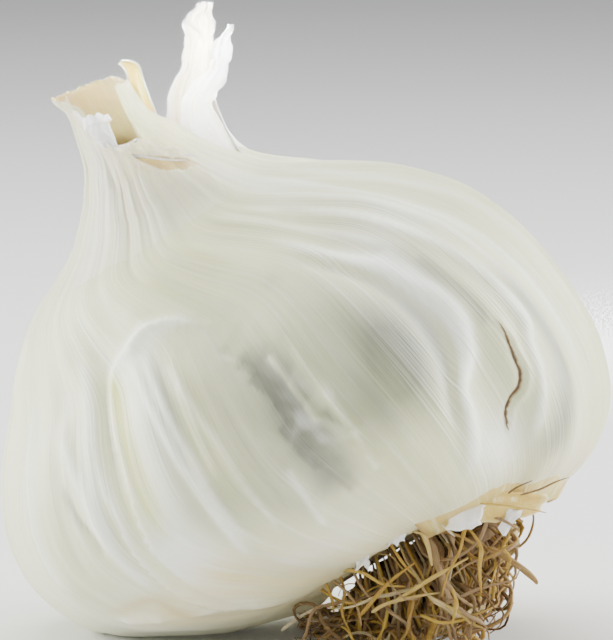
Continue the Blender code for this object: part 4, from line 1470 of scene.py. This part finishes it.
plateForm = {
    "radius": 7.6,
    "insets": (1.0, 1.3, 1.5, 1.6),
    "crown": 0.9,
    "drop": 0.4,
    "bumps": ((0.35, 0.9, 20.0, 81), (0.2, 2.5, 40.0, 82)),     # size, waves, start and seed
    "tone": (0.18, 0.12),
    "thickness": -1.6,
}


def makePlate():
    # the corky basal plate: a disc set in rings, its rim pushed in and out
    bm = startMesh("tone")
    bmesh.ops.create_circle(bm, cap_ends=True, radius=plateForm["radius"], segments=72)
    for inset in plateForm["insets"]:
        face = max(bm.faces, key=lambda f: len(f.verts))
        bmesh.ops.inset_region(bm, faces=[face], thickness=inset, use_even_offset=True)
    bmesh.ops.subdivide_edges(bm, edges=bm.edges[:], cuts=1, use_grid_fill=True)
    verts = bm.verts[:]
    flat = np.array([vert.co[:] for vert in verts])
    x, y = flat[:, 0], flat[:, 1]
    bumps = sum(
        size * softNoise(x * waves + start, y * waves + start, seed)
        for size, waves, start, seed in plateForm["bumps"]
    )
    edge = (np.hypot(x, y) / plateForm["radius"]) ** 2
    flat[:, 2] = bumps - plateForm["drop"] - plateForm["crown"] * (1.0 - edge)
    moveTo(verts, toWorld(flat) * mm)
    fillFibre(bm, verts, flat / 6.0)
    tone, spread = plateForm["tone"]
    fillLayer(bm, verts, "tone", tone + spread * softNoise(x + 8, y + 8, 83))
    bmesh.ops.solidify(bm, geom=bm.faces[:], thickness=plateForm["thickness"] * mm)
    bmesh.ops.recalc_face_normals(bm, faces=bm.faces[:])
    return finishPiece("basal_plate", bm, rootFibre, None)


makeRoots()
makePlate()
print("roots ready")


# ---- Floor, camera and lights
stageForm = {
    "floorTone": (0.7, 0.7, 0.69),
    "aim": (0.0, 0.0, 0.03081),
    "distance": 0.6,
    "elevation": 8.0,
    "seenHeight": 0.0617,      # height of the picture at the bulb
    "sensor": 36.0,
    "worldTone": (0.97, 0.98, 1.0),
    "worldStrength": 0.335,
    "floorDrop": 0.00004,
    "lights": {  # place, aim, size, watts and spread in degrees
        "top": ((-0.05, 0.12, 0.5), (0.0, 0.0, 0.03081), (0.5, 0.4), 4.5, 180.0),
        "left rim": ((-0.42, 0.12, 0.12), (0.0, 0.0, 0.03081), (0.3, 0.4), 6.1, 180.0),
        "right rim": ((0.42, 0.1, 0.18), (0.0, 0.0, 0.03081), (0.3, 0.4), 6.1, 180.0),
        "front": ((-0.2, -0.6, 0.2), (0.0, 0.0, 0.03081), (0.4, 0.3), 1.0, 180.0),
        "low front": ((-0.3, -0.5, 0.04), (0.0, 0.0, 0.01), (0.3, 0.1), 1.1, 180.0),
        "leaf": ((-0.1, -0.4, 0.2), (-0.0105, 0.0, 0.0635), (0.02, 0.02), 0.02, 3.6),
    },
}


def addLight(name, place, aim, size, power, spread):
    data = bpy.data.lights.new(name, "AREA")
    data.spread = math.radians(spread)
    data.shape = "RECTANGLE"
    data.size, data.size_y = size
    data.energy = power
    light = bpy.data.objects.new(name, data)
    light.location = place
    light.rotation_euler = (Vector(aim) - Vector(place)).to_track_quat("-Z", "Y").to_euler()
    bpy.context.scene.collection.objects.link(light)


def makeStage():
    bm = bmesh.new()
    bmesh.ops.create_grid(bm, x_segments=1, y_segments=1, size=3.0)
    bmesh.ops.translate(bm, verts=bm.verts[:], vec=(0.0, 0.0, -stageForm["floorDrop"]))
    mesh = bpy.data.meshes.new("floor")
    bm.to_mesh(mesh)
    bm.free()
    floor = bpy.data.objects.new("floor", mesh)
    bpy.context.scene.collection.objects.link(floor)
    made, shader = startMaterial("studio floor", stageForm["floorTone"], {"Roughness": 0.7})
    cloud = addPatches(made, 6.0, 0.3, 0.7)
    pale = tuple(min(1.0, tone * 1.04) for tone in stageForm["floorTone"])
    made.node_tree.links.new(addMix(made, stageForm["floorTone"], pale, cloud), shader.inputs["Base Color"])
    mesh.materials.append(made)
    floor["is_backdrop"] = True

    world = bpy.data.worlds.new("studio")
    world.use_nodes = True
    background = world.node_tree.nodes["Background"]
    background.inputs["Color"].default_value = (*stageForm["worldTone"], 1.0)
    background.inputs["Strength"].default_value = stageForm["worldStrength"]
    bpy.context.scene.world = world

    for name, values in stageForm["lights"].items():
        addLight(name, *values)

    camera = bpy.data.objects.new("camera", bpy.data.cameras.new("camera"))
    bpy.context.scene.collection.objects.link(camera)
    bpy.context.scene.camera = camera
    lift = math.radians(stageForm["elevation"])
    back = Vector((0.0, -math.cos(lift), math.sin(lift)))
    camera.location = Vector(stageForm["aim"]) + back * stageForm["distance"]
    camera.rotation_euler = (-back).to_track_quat("-Z", "Y").to_euler()
    camera.data.sensor_width = stageForm["sensor"]
    camera.data.lens = stageForm["sensor"] * stageForm["distance"] / stageForm["seenHeight"]
    camera.data.clip_start, camera.data.clip_end = 0.01, 10.0


makeStage()

boxes = {"cad": cadBox, "visual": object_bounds()}
for name, box in boxes.items():
    print(name, "box in mm:", [[round(x / mm, 2) for x in corner] for corner in box])
